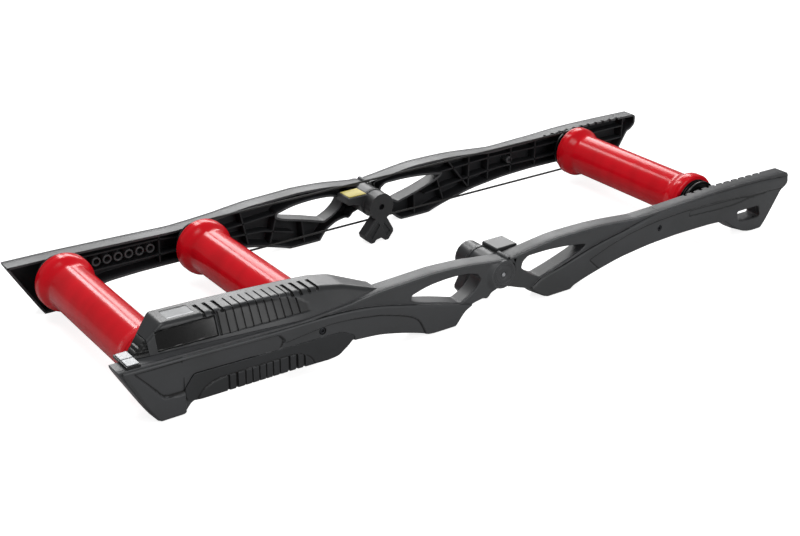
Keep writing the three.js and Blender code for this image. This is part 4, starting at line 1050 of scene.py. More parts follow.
    def rim_band(self, outline: Array) -> Shell:
        """The rim round a half. Its top ends in a lip that overhangs the face, towards the open side its
        lower edges flare out by flare times how far they face down, fading out within 90 mm of the hinge
        and never below the floor, and notches step its top back.

        Args:
            outline: the half in side view.

        Returns:
            The rim.
        """
        line = self.notched(outline)
        normals, factors = corner_normals(line)
        down = np.clip(-normals[:, 1] * factors, 0, 1) * smooth_step(np.abs(line[:, 0]), 0.05, 0.09)
        drop = np.minimum(self.flare * down, np.maximum(line[:, 1] - 0.0002, 0))
        place = (line[:, 0] - self.notch_start) / self.notch_pitch
        cut = (place > 0) & (place < self.notches) & (place % 1 < self.notch_width / self.notch_pitch)
        start = self.open_side + self.notch_depth * (cut & (line[:, 1] > 0.09))
        top = smooth_step(normals[:, 1], 0.3, 0.8) * smooth_step(line[:, 1], 0.080, 0.090)
        top = top * np.sqrt(1 - smooth_step(line[:, 0], self.lip_end - 0.012, self.lip_end))
        far = self.web + 0.002 + top * (self.relief + self.lip - self.web - 0.002)
        low = np.stack([0 * drop, drop], -1)
        rings = [at(line - low, start), at(line - low / 2, (start + far) / 2)]
        for t in (0.0, math.pi / 4, math.pi / 2):
            inset, back = self.lip_turn * (1 - math.cos(t)), self.lip_turn * (1 - math.sin(t))
            rings.append(at(offset(line, -inset), far - back))
        inner = offset(line, -self.rim)
        rings += [at(offset(line, -self.lip_height), far), at(inner, self.web + self.overlap),
                  at(inner - low, start)]
        return band(rings, 6)

    def notched(self, outline: Array) -> Array:
        """Adds points to the upper edge just inside and outside every notch.

        Args:
            outline: the half in side view.

        Returns:
            The outline with more points.
        """
        hair = 2e-5
        edges = self.notch_start + self.notch_pitch * np.arange(self.notches)[:, None] + [0, self.notch_width]
        marks = np.sort(np.concatenate([edges.ravel() - hair, edges.ravel() + hair]))
        rows = []
        for a, b in zip(outline, np.roll(outline, -1, 0)):
            rows.append(a)
            if min(a[1], b[1]) > 0.09 and abs(b[0] - a[0]) > 1e-6:
                t = (marks - a[0]) / (b[0] - a[0])
                rows += [a + (b - a) * k for k in np.sort(t[(t > 0) & (t < 1)])]
        return np.array(rows)

    def ring(self, x: float, z: float, outer: float, inner: float, start: float,
             end: float | None = None) -> Shell:
        """A post or boss: a tube along Y, up to the web unless it ends elsewhere.

        Args:
            x: place of its axis along the object.
            z: height of its axis.
            outer: its outer radius.
            inner: its inner radius.
            start: y of its free end.
            end: y of its other end.

        Returns:
            The tube.
        """
        bevel, end = 0.0004, end or self.web + self.overlap
        profile = [(inner, start), (outer - bevel, start), (outer, start + bevel), (outer, end), (inner, end)]
        return turned(x, z, profile, 36)

    def knuckles(self, parity: int) -> list[Shell]:
        """Every other knuckle of the fold hinge.

        Args:
            parity: 0 for the first and third of three, 1 for the second.

        Returns:
            Their shells.
        """
        pitch = (self.relief - self.open_side) / 3
        starts = [self.open_side + i * pitch + self.knuckle_gap for i in range(parity, 3, 2)]
        return [self.ring(*self.fold, self.knuckle, self.knuckle_bore, y, y + pitch - 2 * self.knuckle_gap)
                for y in starts]

    def rear(self, brake: bool) -> list[Shell]:
        """Shells of a rear half; beside the brake it has no screw at the rear roller.

        Args:
            brake: whether the brake is on this side.

        Returns:
            Closed shells.
        """
        arc = self.hub_arc(self.hub_radius, -108, 48, 30)
        lower = Drawing.curve(np.vstack([Drawing.REAR, arc[:1] / Drawing.SCALE]))[2:-2]
        corner = [self.seam(-1.11, 0.11), self.seam(-7.33, 0.844)]
        outline = np.vstack([lower, arc, corner, Drawing.place(Drawing.REAR_TOP)])
        shells = self.half(outline, [Drawing.curve(Drawing.REAR_WINDOW)], Drawing.REAR_RIBS, self.rear_rise)
        posts = [self.ring(self.post_start + self.post_pitch * i, self.post_height, 0.008, 0.0054,
                           self.open_side + self.rib_start) for i in range(self.posts)]
        bosses = [self.ring(AXLES[name], AXLE_HEIGHT, 0.012, 0.0053, self.boss_end)
                  for name in ("rear", "middle")]
        end = self.face
        hub = [(0.004, self.open_side), (0.022, self.open_side), (0.022, self.web), (0.0248, self.web),
               (0.0248, end - 0.0008), (0.024, end), (0.0199, end), (0.0197, end - 0.003),
               (0.004, end - 0.003)]
        return [*shells, SideRelief().rear_shell(brake), *posts, *bosses, turned(*self.hub, hub),
                self.hub_blend(), *self.knuckles(0)]

    def hub_blend(self) -> Shell:
        """A cone that eases the hub's face into the web behind it, out to 36 mm or to the lip over it.

        Returns:
            The cone.
        """
        degrees = np.linspace(106, 244, 60)[:, None]
        angle = np.radians(degrees)
        reach = np.where(angle < math.pi, 0.0238 / np.maximum(np.sin(angle), 0.1), self.blend_end)
        reach = np.minimum(reach, np.interp(degrees, (212, 240), (self.blend_end, 0.024)))
        radius = self.blend_start + np.maximum(reach - self.blend_start, 1e-4) * np.linspace(0, 1, 14)
        share = smooth_step(radius, self.blend_start, self.blend_end)
        y = self.face - 0.0003 - (self.face - self.relief + 0.0002) * share
        x, z = self.hub[0] + radius * np.cos(angle), self.hub[1] + radius * np.sin(angle)
        return closed_sheet(np.stack([x, y, z], -1), np.stack([x, np.full_like(x, self.web), z], -1))

    def front(self) -> list[Shell]:
        """Shells of a front half.

        Returns:
            Closed shells.
        """
        arc = self.hub_arc(self.hub_radius + self.socket, 36, -66, 26)
        below, above, tip = np.array([arc[-1], self.seam(7.33, 0.844), self.seam(1.78, 0.2)]) / Drawing.SCALE
        curve = Drawing.curve(np.vstack([below, Drawing.FRONT, above, tip]))[5:-5]
        outline = np.vstack([[self.seam(1.78, 0.2)], arc, curve])
        windows = [Drawing.curve(Drawing.FRONT_WINDOW), Drawing.curve(Drawing.HANDLE, Drawing.HANDLE_SHARP)]
        shells = self.half(outline, windows, Drawing.FRONT_RIBS, self.front_rise)
        boss = self.ring(*RACK_SCREW, 0.007, 0.0033, self.open_side + self.rib_start)
        corners = ((0.4, -0.778), (3.11, -2.667), (4, 0.356), (0.667, 0.067))
        neck = slab([np.array([self.seam(*p) for p in corners])], [(self.open_side, 0.0), (self.relief, 0.0)])
        return [*shells, SideRelief().front_shell(), boss, neck, *self.knuckles(1)]


@dataclass(frozen=True)
class Grooves:
    """A row of equal grooves along one direction."""

    start: float
    count: int
    pitch: float
    width: float
    depth: float

    def edges(self) -> list[float]:
        """Start and end of every groove."""
        return [self.start + i * self.pitch + w for i in range(self.count) for w in (0, self.width)]

    def cut(self, value: Array) -> Array:
        """1 in the grooves and 0 between them."""
        return np.max([plateau(value, start, self.width) for start in self.edges()[::2]], axis=0)


@dataclass
class SideRelief:
    """The outer faces: the rear spar, with a sunk panel beside the brake, the brake's lower cover with its
    ribbed field, and the front spar with its shallow lower zone. All are height fields over the side view,
    drawn on the left and mirrored."""

    face: float = OUTER_FACE
    back: float = 0.221
    seat: float = 0.2257
    belly: float = 0.1985
    edge: float = 0.0032
    shoulder: float = 0.0046
    gap: float = 3e-4
    zone_sink: float = 0.0021
    panel_sink: float = 0.0036
    field_step: float = 0.0018
    hole_sink: float = 0.0045
    hole_radius: float = 0.0062
    rack_hole_radius: float = 0.0054
    rows_up: int = 64
    belly_rows: int = 22
    cover_rows: int = 40
    cover: tuple = ((-0.592, 0.040), (-0.588, 0.020), (-0.566, 0.017), (-0.404, 0.016), (-0.344, 0.014),
                    (-0.326, 0.016), (-0.306, 0.030), (-0.294, 0.042), (-0.320, 0.056), (-0.500, 0.060),
                    (-0.575, 0.062))
    panel: tuple = ((-0.671, 0.091), (-0.658, 0.076), (-0.625, 0.036), (-0.596, 0.034), (-0.589, 0.036),
                    (-0.570, 0.058), (-0.427, 0.058), (-0.420, 0.072), (-0.431, 0.0845), (-0.500, 0.087),
                    (-0.600, 0.0905))
    field: tuple = ((-0.574, 0.008), (-0.566, 0.030), (-0.548, 0.040), (-0.530, 0.0435), (-0.410, 0.0435),
                    (-0.392, 0.040), (-0.376, 0.028), (-0.370, 0.008))
    zone: tuple = ((-0.52, 0.02), (-0.50, 0.06), (-0.343, 0.0765), (-0.297, 0.0735), (-0.250, 0.066),
                   (-0.212, 0.055), (-0.186, 0.045), (-0.171, 0.034), (-0.160, 0.013), (-0.152, -0.01),
                   (-0.52, -0.01))
    front_zone: tuple = ((0.190, 0.047), (0.247, 0.066), (0.286, 0.075), (0.326, 0.081), (0.367, 0.0845),
                         (0.409, 0.086), (0.452, 0.0865), (0.496, 0.086), (0.541, 0.084), (0.587, 0.081),
                         (0.649, 0.077), (0.690, 0.074), (0.73, -0.01), (0.25, -0.01))
    front_panel: tuple = ((0.433, 0.070), (0.499, 0.0665), (0.544, 0.065), (0.571, 0.066), (0.60, 0.070),
                          (0.642, 0.0705), (0.650, 0.0745), (0.587, 0.0785), (0.541, 0.0815), (0.437, 0.084))
    grooves: tuple[Grooves, ...] = (
        Grooves(-0.5225, 2, 0.014, 0.0042, 0.0026), Grooves(-0.419, 2, 0.014, 0.0042, 0.0026),
        Grooves(-0.392, 1, 0.014, 0.0042, 0.0026), Grooves(-0.493, 6, 0.0118, 0.0022, 0.0015))

    def columns(self, loop: Array) -> Array:
        """Places along an outline: every 1.5 mm, closer at the field's grooves and at the screws' holes.

        Args:
            loop: the outline in side view.

        Returns:
            The places, in order.
        """
        start, end = loop[:, 0].min() + 2e-4, loop[:, 0].max() - 2e-4
        marks = np.array([x for row in self.grooves for x in row.edges()])
        near = (marks[:, None] + [-0.0004, 0.0004]).ravel()
        holes = (np.array([[AXLES["middle"]], [RACK_SCREW[0]]]) + np.arange(-0.0075, 0.0076, 0.0005)).ravel()
        x = np.unique(np.round(np.concatenate([np.arange(start, end, 0.0015), near, holes, [start, end]]), 5))
        return x[(x >= start) & (x <= end)]

    @staticmethod
    def rows(low: Array, high: Array, count: int) -> Array:
        """Heights from low to high, closer together at both edges: t mixed with (1 - cos(pi t)) / 2.

        Args:
            low: the lowest height at each of n places.
            high: the highest one.
            count: how many heights.

        Returns:
            n x count heights.
        """
        t = np.linspace(0, 1, count)
        share = 0.45 * t + 0.55 * (1 - np.cos(np.pi * t)) / 2
        return low[:, None] * (1 - share) + high[:, None] * share

    @staticmethod
    def bounds(loop: Array, x: Array) -> tuple[Array, Array]:
        """Lowest and highest height of an outline at each place, from its crossings with upright lines.

        Args:
            loop: the outline in side view.
            x: n places along the object.

        Returns:
            The lowest and the highest heights.
        """
        a, b = loop, np.roll(loop, -1, 0)
        span = np.where(np.abs(b[:, 0] - a[:, 0]) < 1e-9, 1e-9, b[:, 0] - a[:, 0])
        t = (x[:, None] - a[None, :, 0]) / span
        z = np.where((t >= -1e-9) & (t <= 1 + 1e-9), a[:, 1] + t * (b[:, 1] - a[:, 1]), np.nan)
        return np.nanmin(z, 1), np.nanmax(z, 1)

    @staticmethod
    def share(x: Array, z: Array, area: tuple, reach: float, radius: float) -> Array:
        """0 outside an area with rounded corners, climbing to 1 within a reach of its edge."""
        return smooth_step(inside(x, z, rounded(area, radius, 4)), -0.0004, reach)

    def sheet(self, x: Array, z: Array, depth: Array, back: float | Array,
              gone: Array | None = None) -> Shell:
        """The shell between the outer face, pressed in by a depth, and a surface behind it.

        Args:
            x: places along the object, as a grid.
            z: heights, as a grid.
            depth: how deep the face is pressed in.
            back: y of the surface behind.
            gone: cells left out of both.

        Returns:
            The closed shell.
        """
        skin = np.stack([x, self.face - depth, z], -1)
        inner = np.stack([x, np.broadcast_to(back, z.shape), z], -1)
        # the cavity from these depths darkens recesses with painted shade
        return closed_sheet(skin, inner, self.painted_light(depth), gone)

    @staticmethod
    def painted_light(depth: Array) -> Array:
        """How far each point lies below the highest of its neighbours two columns and rows away, which the
        finishes darken as painted shade. Slopes that go on beyond the neighbours don't count.

        Args:
            depth: how deep the face is pressed in.

        Returns:
            How far each point lies below them.
        """
        around = np.stack([np.roll(depth, k, axis) for axis in (0, 1) for k in (-2, 2)])
        level = np.abs(around.max(0) - depth) < 3e-4
        return np.where(level, np.clip(depth - around.min(0), 0, 0.0012), 0)

    def rear_depth(self, x: Array, z: Array, brake: bool) -> Array:
        """Depth of the beam's face: rounded at its outline, a step down in its lower zone and, beside the
        brake, sunk in the panel and at the screw's hole.

        Args:
            x: places along the object, as a grid.
            z: heights, as a grid.
            brake: whether the brake is on this side.

        Returns:
            The depths.
        """
        depth = round_edge(inside(x, z, Drawing.curve(Drawing.REAR_SPAR)), self.edge)
        depth = np.maximum(depth, self.zone_sink * self.share(x, z, self.zone, 0.0013, 0.01))
        hole = np.hypot(x - AXLES["middle"], z - AXLE_HEIGHT)
        if brake:
            depth = np.maximum(depth, round_edge(-inside(x, z, np.array(self.cover)), 0.0008))
            panel = smooth_step(inside(x, z, rounded(self.panel, 0.005)), -0.0002, 0.0022)
            depth = np.maximum(depth, self.panel_sink * panel)
        else:
            hole = np.minimum(hole, np.hypot(x - AXLES["rear"], z - AXLE_HEIGHT))
        return np.maximum(depth, self.hole_sink * (hole < self.hole_radius))

    def rear_shell(self, brake: bool) -> Shell:
        """The rear half's spar; beside the brake it starts above the cover.

        Args:
            brake: whether the brake is on this side.

        Returns:
            The closed shell.
        """
        spar, cover = Drawing.curve(Drawing.REAR_SPAR), rounded(self.cover, 0.005)
        rear, ahead = cover[:, 0].min(), cover[:, 0].max()
        first, last = rear - self.gap, ahead + self.gap
        x = np.unique(np.concatenate([self.columns(spar), [first, first + 1e-5, last - 1e-5, last]]))
        low, high = self.bounds(spar, x)
        if brake:
            above = self.bounds(cover, np.clip(x, rear + 1e-5, ahead - 1e-5))[1] + self.gap
            low = np.where((x > first) & (x < last), above, low)
        z = self.rows(low, np.maximum(high, low + 1e-4), self.rows_up)
        wide = np.broadcast_to(x[:, None], z.shape)
        return self.sheet(wide, z, self.rear_depth(wide, z, brake), self.back)

    def front_shell(self) -> Shell:
        """The front half's spar, open at the hand hold, where the grid's nearest points move onto the
        opening's edge along the slope of their distance from it.

        Returns:
            The closed shell.
        """
        spar, hold = Drawing.curve(Drawing.FRONT_SPAR), Drawing.curve(Drawing.HANDLE, Drawing.HANDLE_SHARP)
        x = self.columns(spar)
        low, high = self.bounds(spar, x)
        z = self.rows(low, np.maximum(high, low + 1e-4), self.rows_up)
        wide = np.broadcast_to(x[:, None], z.shape).copy()
        middle = [(g[1:, 1:] + g[:-1, 1:] + g[1:, :-1] + g[:-1, :-1]) / 4 for g in (wide, z)]
        gone = inside(*middle, hold) > 0
        around = np.zeros(z.shape, int)
        for rows in (slice(1, None), slice(None, -1)):
            for columns in (slice(1, None), slice(None, -1)):
                around[rows, columns] += gone
        rim, hair = (around > 0) & (around < 4), 1e-5
        away = inside(wide[rim], z[rim], hold)
        along = (inside(wide[rim] + hair, z[rim], hold) - away) / hair
        up = (inside(wide[rim], z[rim] + hair, hold) - away) / hair
        wide[rim], z[rim] = wide[rim] - away * along, z[rim] - away * up
        return self.sheet(wide, z, self.front_depth(wide, z, spar, hold), self.back, gone)

    def front_depth(self, x: Array, z: Array, spar: Array, hold: Array) -> Array:
        """Depth of the face: rounded at its outline and the hand hold, sunk in two zones and at the screw's
        hole.

        Args:
            x: places along the object, as a grid.
            z: heights, as a grid.
            spar: the face's outline.
            hold: the hand hold's outline.

        Returns:
            The depths.
        """
        depth = round_edge(inside(x, z, spar), np.where((x > 0.29) & (z > 0.08), self.shoulder, self.edge))
        for area, sink, reach in ((self.front_zone, 0.0016, 0.0016), (self.front_panel, 0.0025, 0.0012)):
            depth = np.maximum(depth, sink * self.share(x, z, area, reach, 0.006))
        depth = np.maximum(depth, round_edge(-inside(x, z, hold), 0.0024))
        hole = np.hypot(x - RACK_SCREW[0], z - RACK_SCREW[1])
        return np.maximum(depth, self.hole_sink * (hole < self.rack_hole_radius))

    def cover_depth(self, x: Array, z: Array, cover: Array) -> Array:
        """Depth of the cover's face: rounded at its outline, a step above the field and grooves down the
        field.

        Args:
            x: places along the object, as a grid.
            z: heights, as a grid.
            cover: the cover's outline.

        Returns:
            The depths.
        """
        field = self.share(x, z, self.field, 0.0012, 0.012)
        cut = np.max([row.depth * row.cut(x) for row in self.grooves], axis=0)
        depth = np.maximum(round_edge(inside(x, z, cover), self.edge), self.field_step * (1 - field))
        return depth + cut * field

    def cover_shell(self) -> Shell:
        """The cover as one closed shell, whose belly reaches in under the beam.

        Returns:
            The closed shell.
        """
        cover = rounded(self.cover, 0.005)
        x = self.columns(cover)
        low, high = self.bounds(cover, x)
        high = np.maximum(high, low + 3e-4)
        beam = self.bounds(Drawing.place((*Drawing.REAR, Drawing.HINGE, *Drawing.REAR_TOP)), x)[0]
        shelf = np.clip(beam - 5e-4, low + 1e-4, high - 1e-4)
        z = np.hstack([self.rows(low, shelf, self.belly_rows),
                       self.rows(shelf + 1e-5, high, self.cover_rows)])
        wide = np.broadcast_to(x[:, None], z.shape)
        flat = np.repeat([self.belly, self.seat], [self.belly_rows, self.cover_rows])
        taper = round_edge(z - low[:, None], 0.006) * 1.2
        return self.sheet(wide, z, self.cover_depth(wide, z, cover), np.minimum(flat + taper, self.seat))


@dataclass
class Rollers:
    """Three drums with their end caps, bearings and axles."""

    radius: float = 0.040
    flange: float = 0.0492
    half: float = 0.168
    band: float = 0.016
    flare: float = 0.024
    bore: float = 0.037
    line: float = 0.0007
    lines: tuple[float, ...] = (0.0085, 0.0058)
    cap_radius: float = 0.0415
    cap_start: float = 0.1683
    cap_end: float = 0.183
    plug: float = 0.0367
    plug_start: float = 0.146
    groove_starts: tuple[float, ...] = (0.1693, 0.1747)
    groove_width: float = 0.0044
    groove_depth: float = 0.004
    rod_end: float = 0.2207

    def build(self) -> None:
        """Builds and dresses every roller."""
        for name, x in AXLES.items():
            body = f"{name}_roller"
            carrier = "front_carriage" if name == "front" else "rear_frame"
            drum = turned(x, AXLE_HEIGHT, self.drum(), 128)
            made(f"{name}_drum_shell", [drum], body, "drum_red", Coat.DRUM, f"{name}_drum")
            for side, sign in SIDES:
                cap = turned(x, AXLE_HEIGHT, rounded(self.cap(), 0.0005, 2))
                race = turned(x, AXLE_HEIGHT, rounded(self.bearing(), 0.0003, 2), 64)
                made(f"{name}_cap_{side}", [cap], body, "black_plastic", Coat.CAP,
                     f"{name}_end_cap_{side}", sign)
                made(f"{name}_race_{side}", [race], body, "steel", Coat.STEEL, f"{name}_bearing_{side}", sign)
            rod = turned(x, AXLE_HEIGHT, self.rod(), 48)
            made(f"{name}_axle_rod", [rod], carrier, "steel", Coat.STEEL, f"{name}_axle")

    def drum(self) -> Array:
        """A shell whose radius climbs to the flange as r + rise * (3t^2 - 2t^3) along the flare, with two
        fine lines in the band beside it and a bevelled end.

        Returns:
            The profile, as rows of radius and y.
        """
        low, end, out = self.half - self.band - self.flare, self.half, self.flange
        y = np.linspace(0, self.half - self.band, 40)
        r = self.radius + (out - self.radius) * smooth_step(y, low, low + self.flare)
        lines = [(out - sink, end - back + step) for back in self.lines
                 for sink, step in ((0, 0), (self.line, 0.0002), (self.line, 0.001), (0, 0.0012))]
        lip = [(out, end - 0.003), (out - 0.0006, end - 0.0013), (out - 0.0022, end - 0.0002),
               (out - 0.003, end), (self.bore + 0.0008, end), (self.bore + 0.0002, end - 0.0007)]
        half = np.array([*zip(r, y), *lines, *lip])
        return np.vstack([half, half[::-1][:-1] * [1, -1]])

    def cap(self) -> list[tuple[float, float]]:
        """A cap with two belt grooves, a dished face and a bearing seat.

        Returns:
            The profile, as rows of radius and y.
        """
        end, out, deep = self.cap_end, self.cap_radius, self.cap_radius - self.groove_depth
        groove = ((out, 0.0), (deep, 0.0), (deep, self.groove_width), (out, self.groove_width))
        grooves = [(r, y + step) for y in self.groove_starts for r, step in groove]
        return [(0.007, 0.175), (0.007, self.plug_start), (self.plug, self.plug_start),
                (self.plug, self.cap_start), (out, self.cap_start), *grooves, (out, end), (0.0365, end),
                (0.0345, end - 0.0015), (0.027, end - 0.0065), (0.025, end - 0.007), (0.0195, end - 0.0012),
                (0.018, end), (0.0138, end), (0.0138, 0.175)]

    def bearing(self) -> list[tuple[float, float]]:
        """A ball bearing: outer race, sunk seal and inner race, as one turned ring."""
        end = self.cap_end
        return [(0.00525, 0.1753), (0.013, 0.1753), (0.013, end), (0.0112, end), (0.011, end - 0.0009),
                (0.0075, end - 0.0009), (0.0073, end - 0.0002), (0.00525, end - 0.0002)]

    def rod(self) -> list[tuple[float, float]]:
        """A round axle with bevelled ends and a threaded hole in each.

        Returns:
            The profile, as rows of radius and y.
        """
        end = self.rod_end
        half = [(0.0, end - 0.014), (0.0033, end - 0.013), (0.0033, end), (0.0042, end),
                (0.005, end - 0.0008)]
        return half + [(r, -y) for r, y in half[::-1]]


@dataclass
class Fasteners:
    """Screws in the beams' outer faces."""

    sunk: float = 0.0022
    socket: float = 0.0024
    places: tuple[tuple[str, float, float, float, str], ...] = (
        ("rear_axle_screw", AXLES["rear"], AXLE_HEIGHT, 0.2087, "rear_frame"),
        ("middle_axle_screw", AXLES["middle"], AXLE_HEIGHT, 0.2087, "rear_frame"),
        ("rack_screw", *RACK_SCREW, 0.198, "front_frame"))

    def build(self) -> None:
        """Builds each screw and dresses it; the brake covers the right rear one's place."""
        for name, x, z, tip, body in self.places:
            for side, sign in SIDES:
                if (name, side) != ("rear_axle_screw", "right"):
                    made(f"{name}_{side}_bolt", [self.screw(x, z, tip)], body, "steel", Coat.DARK,
                         f"{name}_{side}", sign)

    def screw(self, x: float, z: float, tip: float) -> Shell:
        """A turned shank and domed head; the socket's points are moved onto a hexagon, r cos(30) / cos(a
        mod 60 - 30).

        Args:
            x: place of its axis along the object.
            z: height of its axis.
            tip: how far from the middle plane its inner end is.

        Returns:
            The screw.
        """
        o = OUTER_FACE - self.sunk
        floor = o - 0.0019
        profile = [(0, tip), (0.0026, tip), (0.003, tip + 0.0005), (0.003, o - 0.0022), (0.0054, o - 0.0022),
                   (0.0054, o - 0.0008), (0.0049, o - 0.0002), (0.0043, o), (0.0026, o),
                   (self.socket, o - 0.0002), (self.socket, floor), (0, floor)]
        shell = turned(x, z, profile, 48)
        away = shell.vertices[:, ::2] - [x, z]
        in_socket = (np.abs(np.hypot(*away.T) - self.socket) < 1e-5) & (shell.vertices[:, 1] > floor - 1e-4)
        angle = np.mod(np.arctan2(away[:, 1], away[:, 0]), np.pi / 3) - np.pi / 6
        scale = np.where(in_socket, math.cos(np.pi / 6) / np.cos(angle), 1.0)
        shell.vertices[:, ::2] = [x, z] + away * scale[:, None]
        return shell


@dataclass
class Hinges:
    """Hub pins, hub caps, fold pins, the two centre supports and the left step plate."""

    outer: float = OUTER_FACE

    def build(self) -> None:
        """Builds and dresses the hinge hardware."""
        for side, sign in SIDES:
            cap = turned(0, HUB_HEIGHT, rounded(self.cap(), 0.0004, 2))
            made(f"hub_cover_{side}", [cap], "rear_frame", "black_plastic", Coat.BEAM, f"hub_cap_{side}",
                 sign)
            pin = made(f"hub_spindle_{side}", [turned(0, HUB_HEIGHT, self.pin(), 48)], "rear_frame", "steel",
                       Coat.DARK, f"hub_pin_{side}", sign)
            pin.data.materials.append(Coat.STEEL.value.material())
            bright = np.abs(face_values(pin.data, "center")[:, 1]) > 0.2
            pin.data.polygons.foreach_set("material_index", bright.astype(np.int32))
            copied(f"fold_spindle_{side}", f"fold_pin_{side}", "rear_frame", "steel", Coat.STEEL, 65)
            copied(f"centre_support_{side}_moulding", f"centre_support_{side}", "rear_frame", "black_plastic",
                   Coat.HOOD, 32, 0.0008)
        copied("step_plate_left_trim", "step_plate_left", "rear_frame", "yellow_plastic", Coat.PLATE, 30,
               0.0003)

    def cap(self) -> list[tuple[float, float]]:
        """A shallow dished cover with a rounded rim."""
        o = self.outer
        return [(0.0042, o - 0.0027), (0.0195, o - 0.0027), (0.0195, o), (0.0172, o), (0.0164, o - 0.0013),
                (0.0156, o - 0.0003), (0.0085, o - 0.0004), (0.0078, o - 0.0012), (0.0042, o - 0.0014)]

    def pin(self) -> list[tuple[float, float]]:
        """A pin with a flat head at its inner end."""
        o = self.outer
        return [(0, 0.1355), (0.0026, 0.1355), (0.003, 0.1345), (0.0054, 0.1345), (0.0054, 0.1367),
                (0.0037, 0.1367), (0.0037, o - 0.001), (0.0027, o), (0, o)]


@dataclass
class DriveBelt:
    """Round cord from the middle roller to the front one, in two pieces that meet on the front frame."""

    radius: float = 0.0019
    y: float = 0.1769
    wheel: float = 0.0397
    split: float = 0.06
    fold_height: float = 0.093

    def build(self) -> None:
        """Builds both pieces and dresses them."""
        back = tube("drive_belt_rear_run", self.path(AXLES["middle"], math.pi / 2), self.radius)
        ahead = tube("drive_belt_front_run", self.path(AXLES["front"], -math.pi / 2), self.radius)
        for piece in (back, ahead):
            piece.data.transform(Matrix.Translation(HUB))
        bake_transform(back)
        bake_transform(ahead)
        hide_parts("drive_belt")
        for piece in (back, ahead):
            Coat.BELT.value.wear(piece)
            log.info("%s: %d faces", piece.name, len(piece.data.polygons))

    def path(self, x: float, start: float) -> Array:
        """A straight run, half a circle round a roller and a straight run back.

        Args:
            x: place of the roller's axis.
            start: angle at which the belt meets the roller.

        Returns:
            n x 3 points, from the split round the roller to the split.
        """
        angle = start + np.linspace(0, math.pi, 40)
        turn = np.stack([x + self.wheel * np.cos(angle), 0 * angle + self.y,
                         AXLE_HEIGHT + self.wheel * np.sin(angle)], -1)
        reach = np.linspace(0, 1, 70)[:, None]
        first, last = turn[0], turn[-1]
        into = np.array([self.split, self.y, first[2]]) * (1 - reach) + first * reach
        out = last * (1 - reach) + np.array([self.split, self.y, last[2]]) * reach
        return np.vstack([into[:-1], turn, out[1:]])


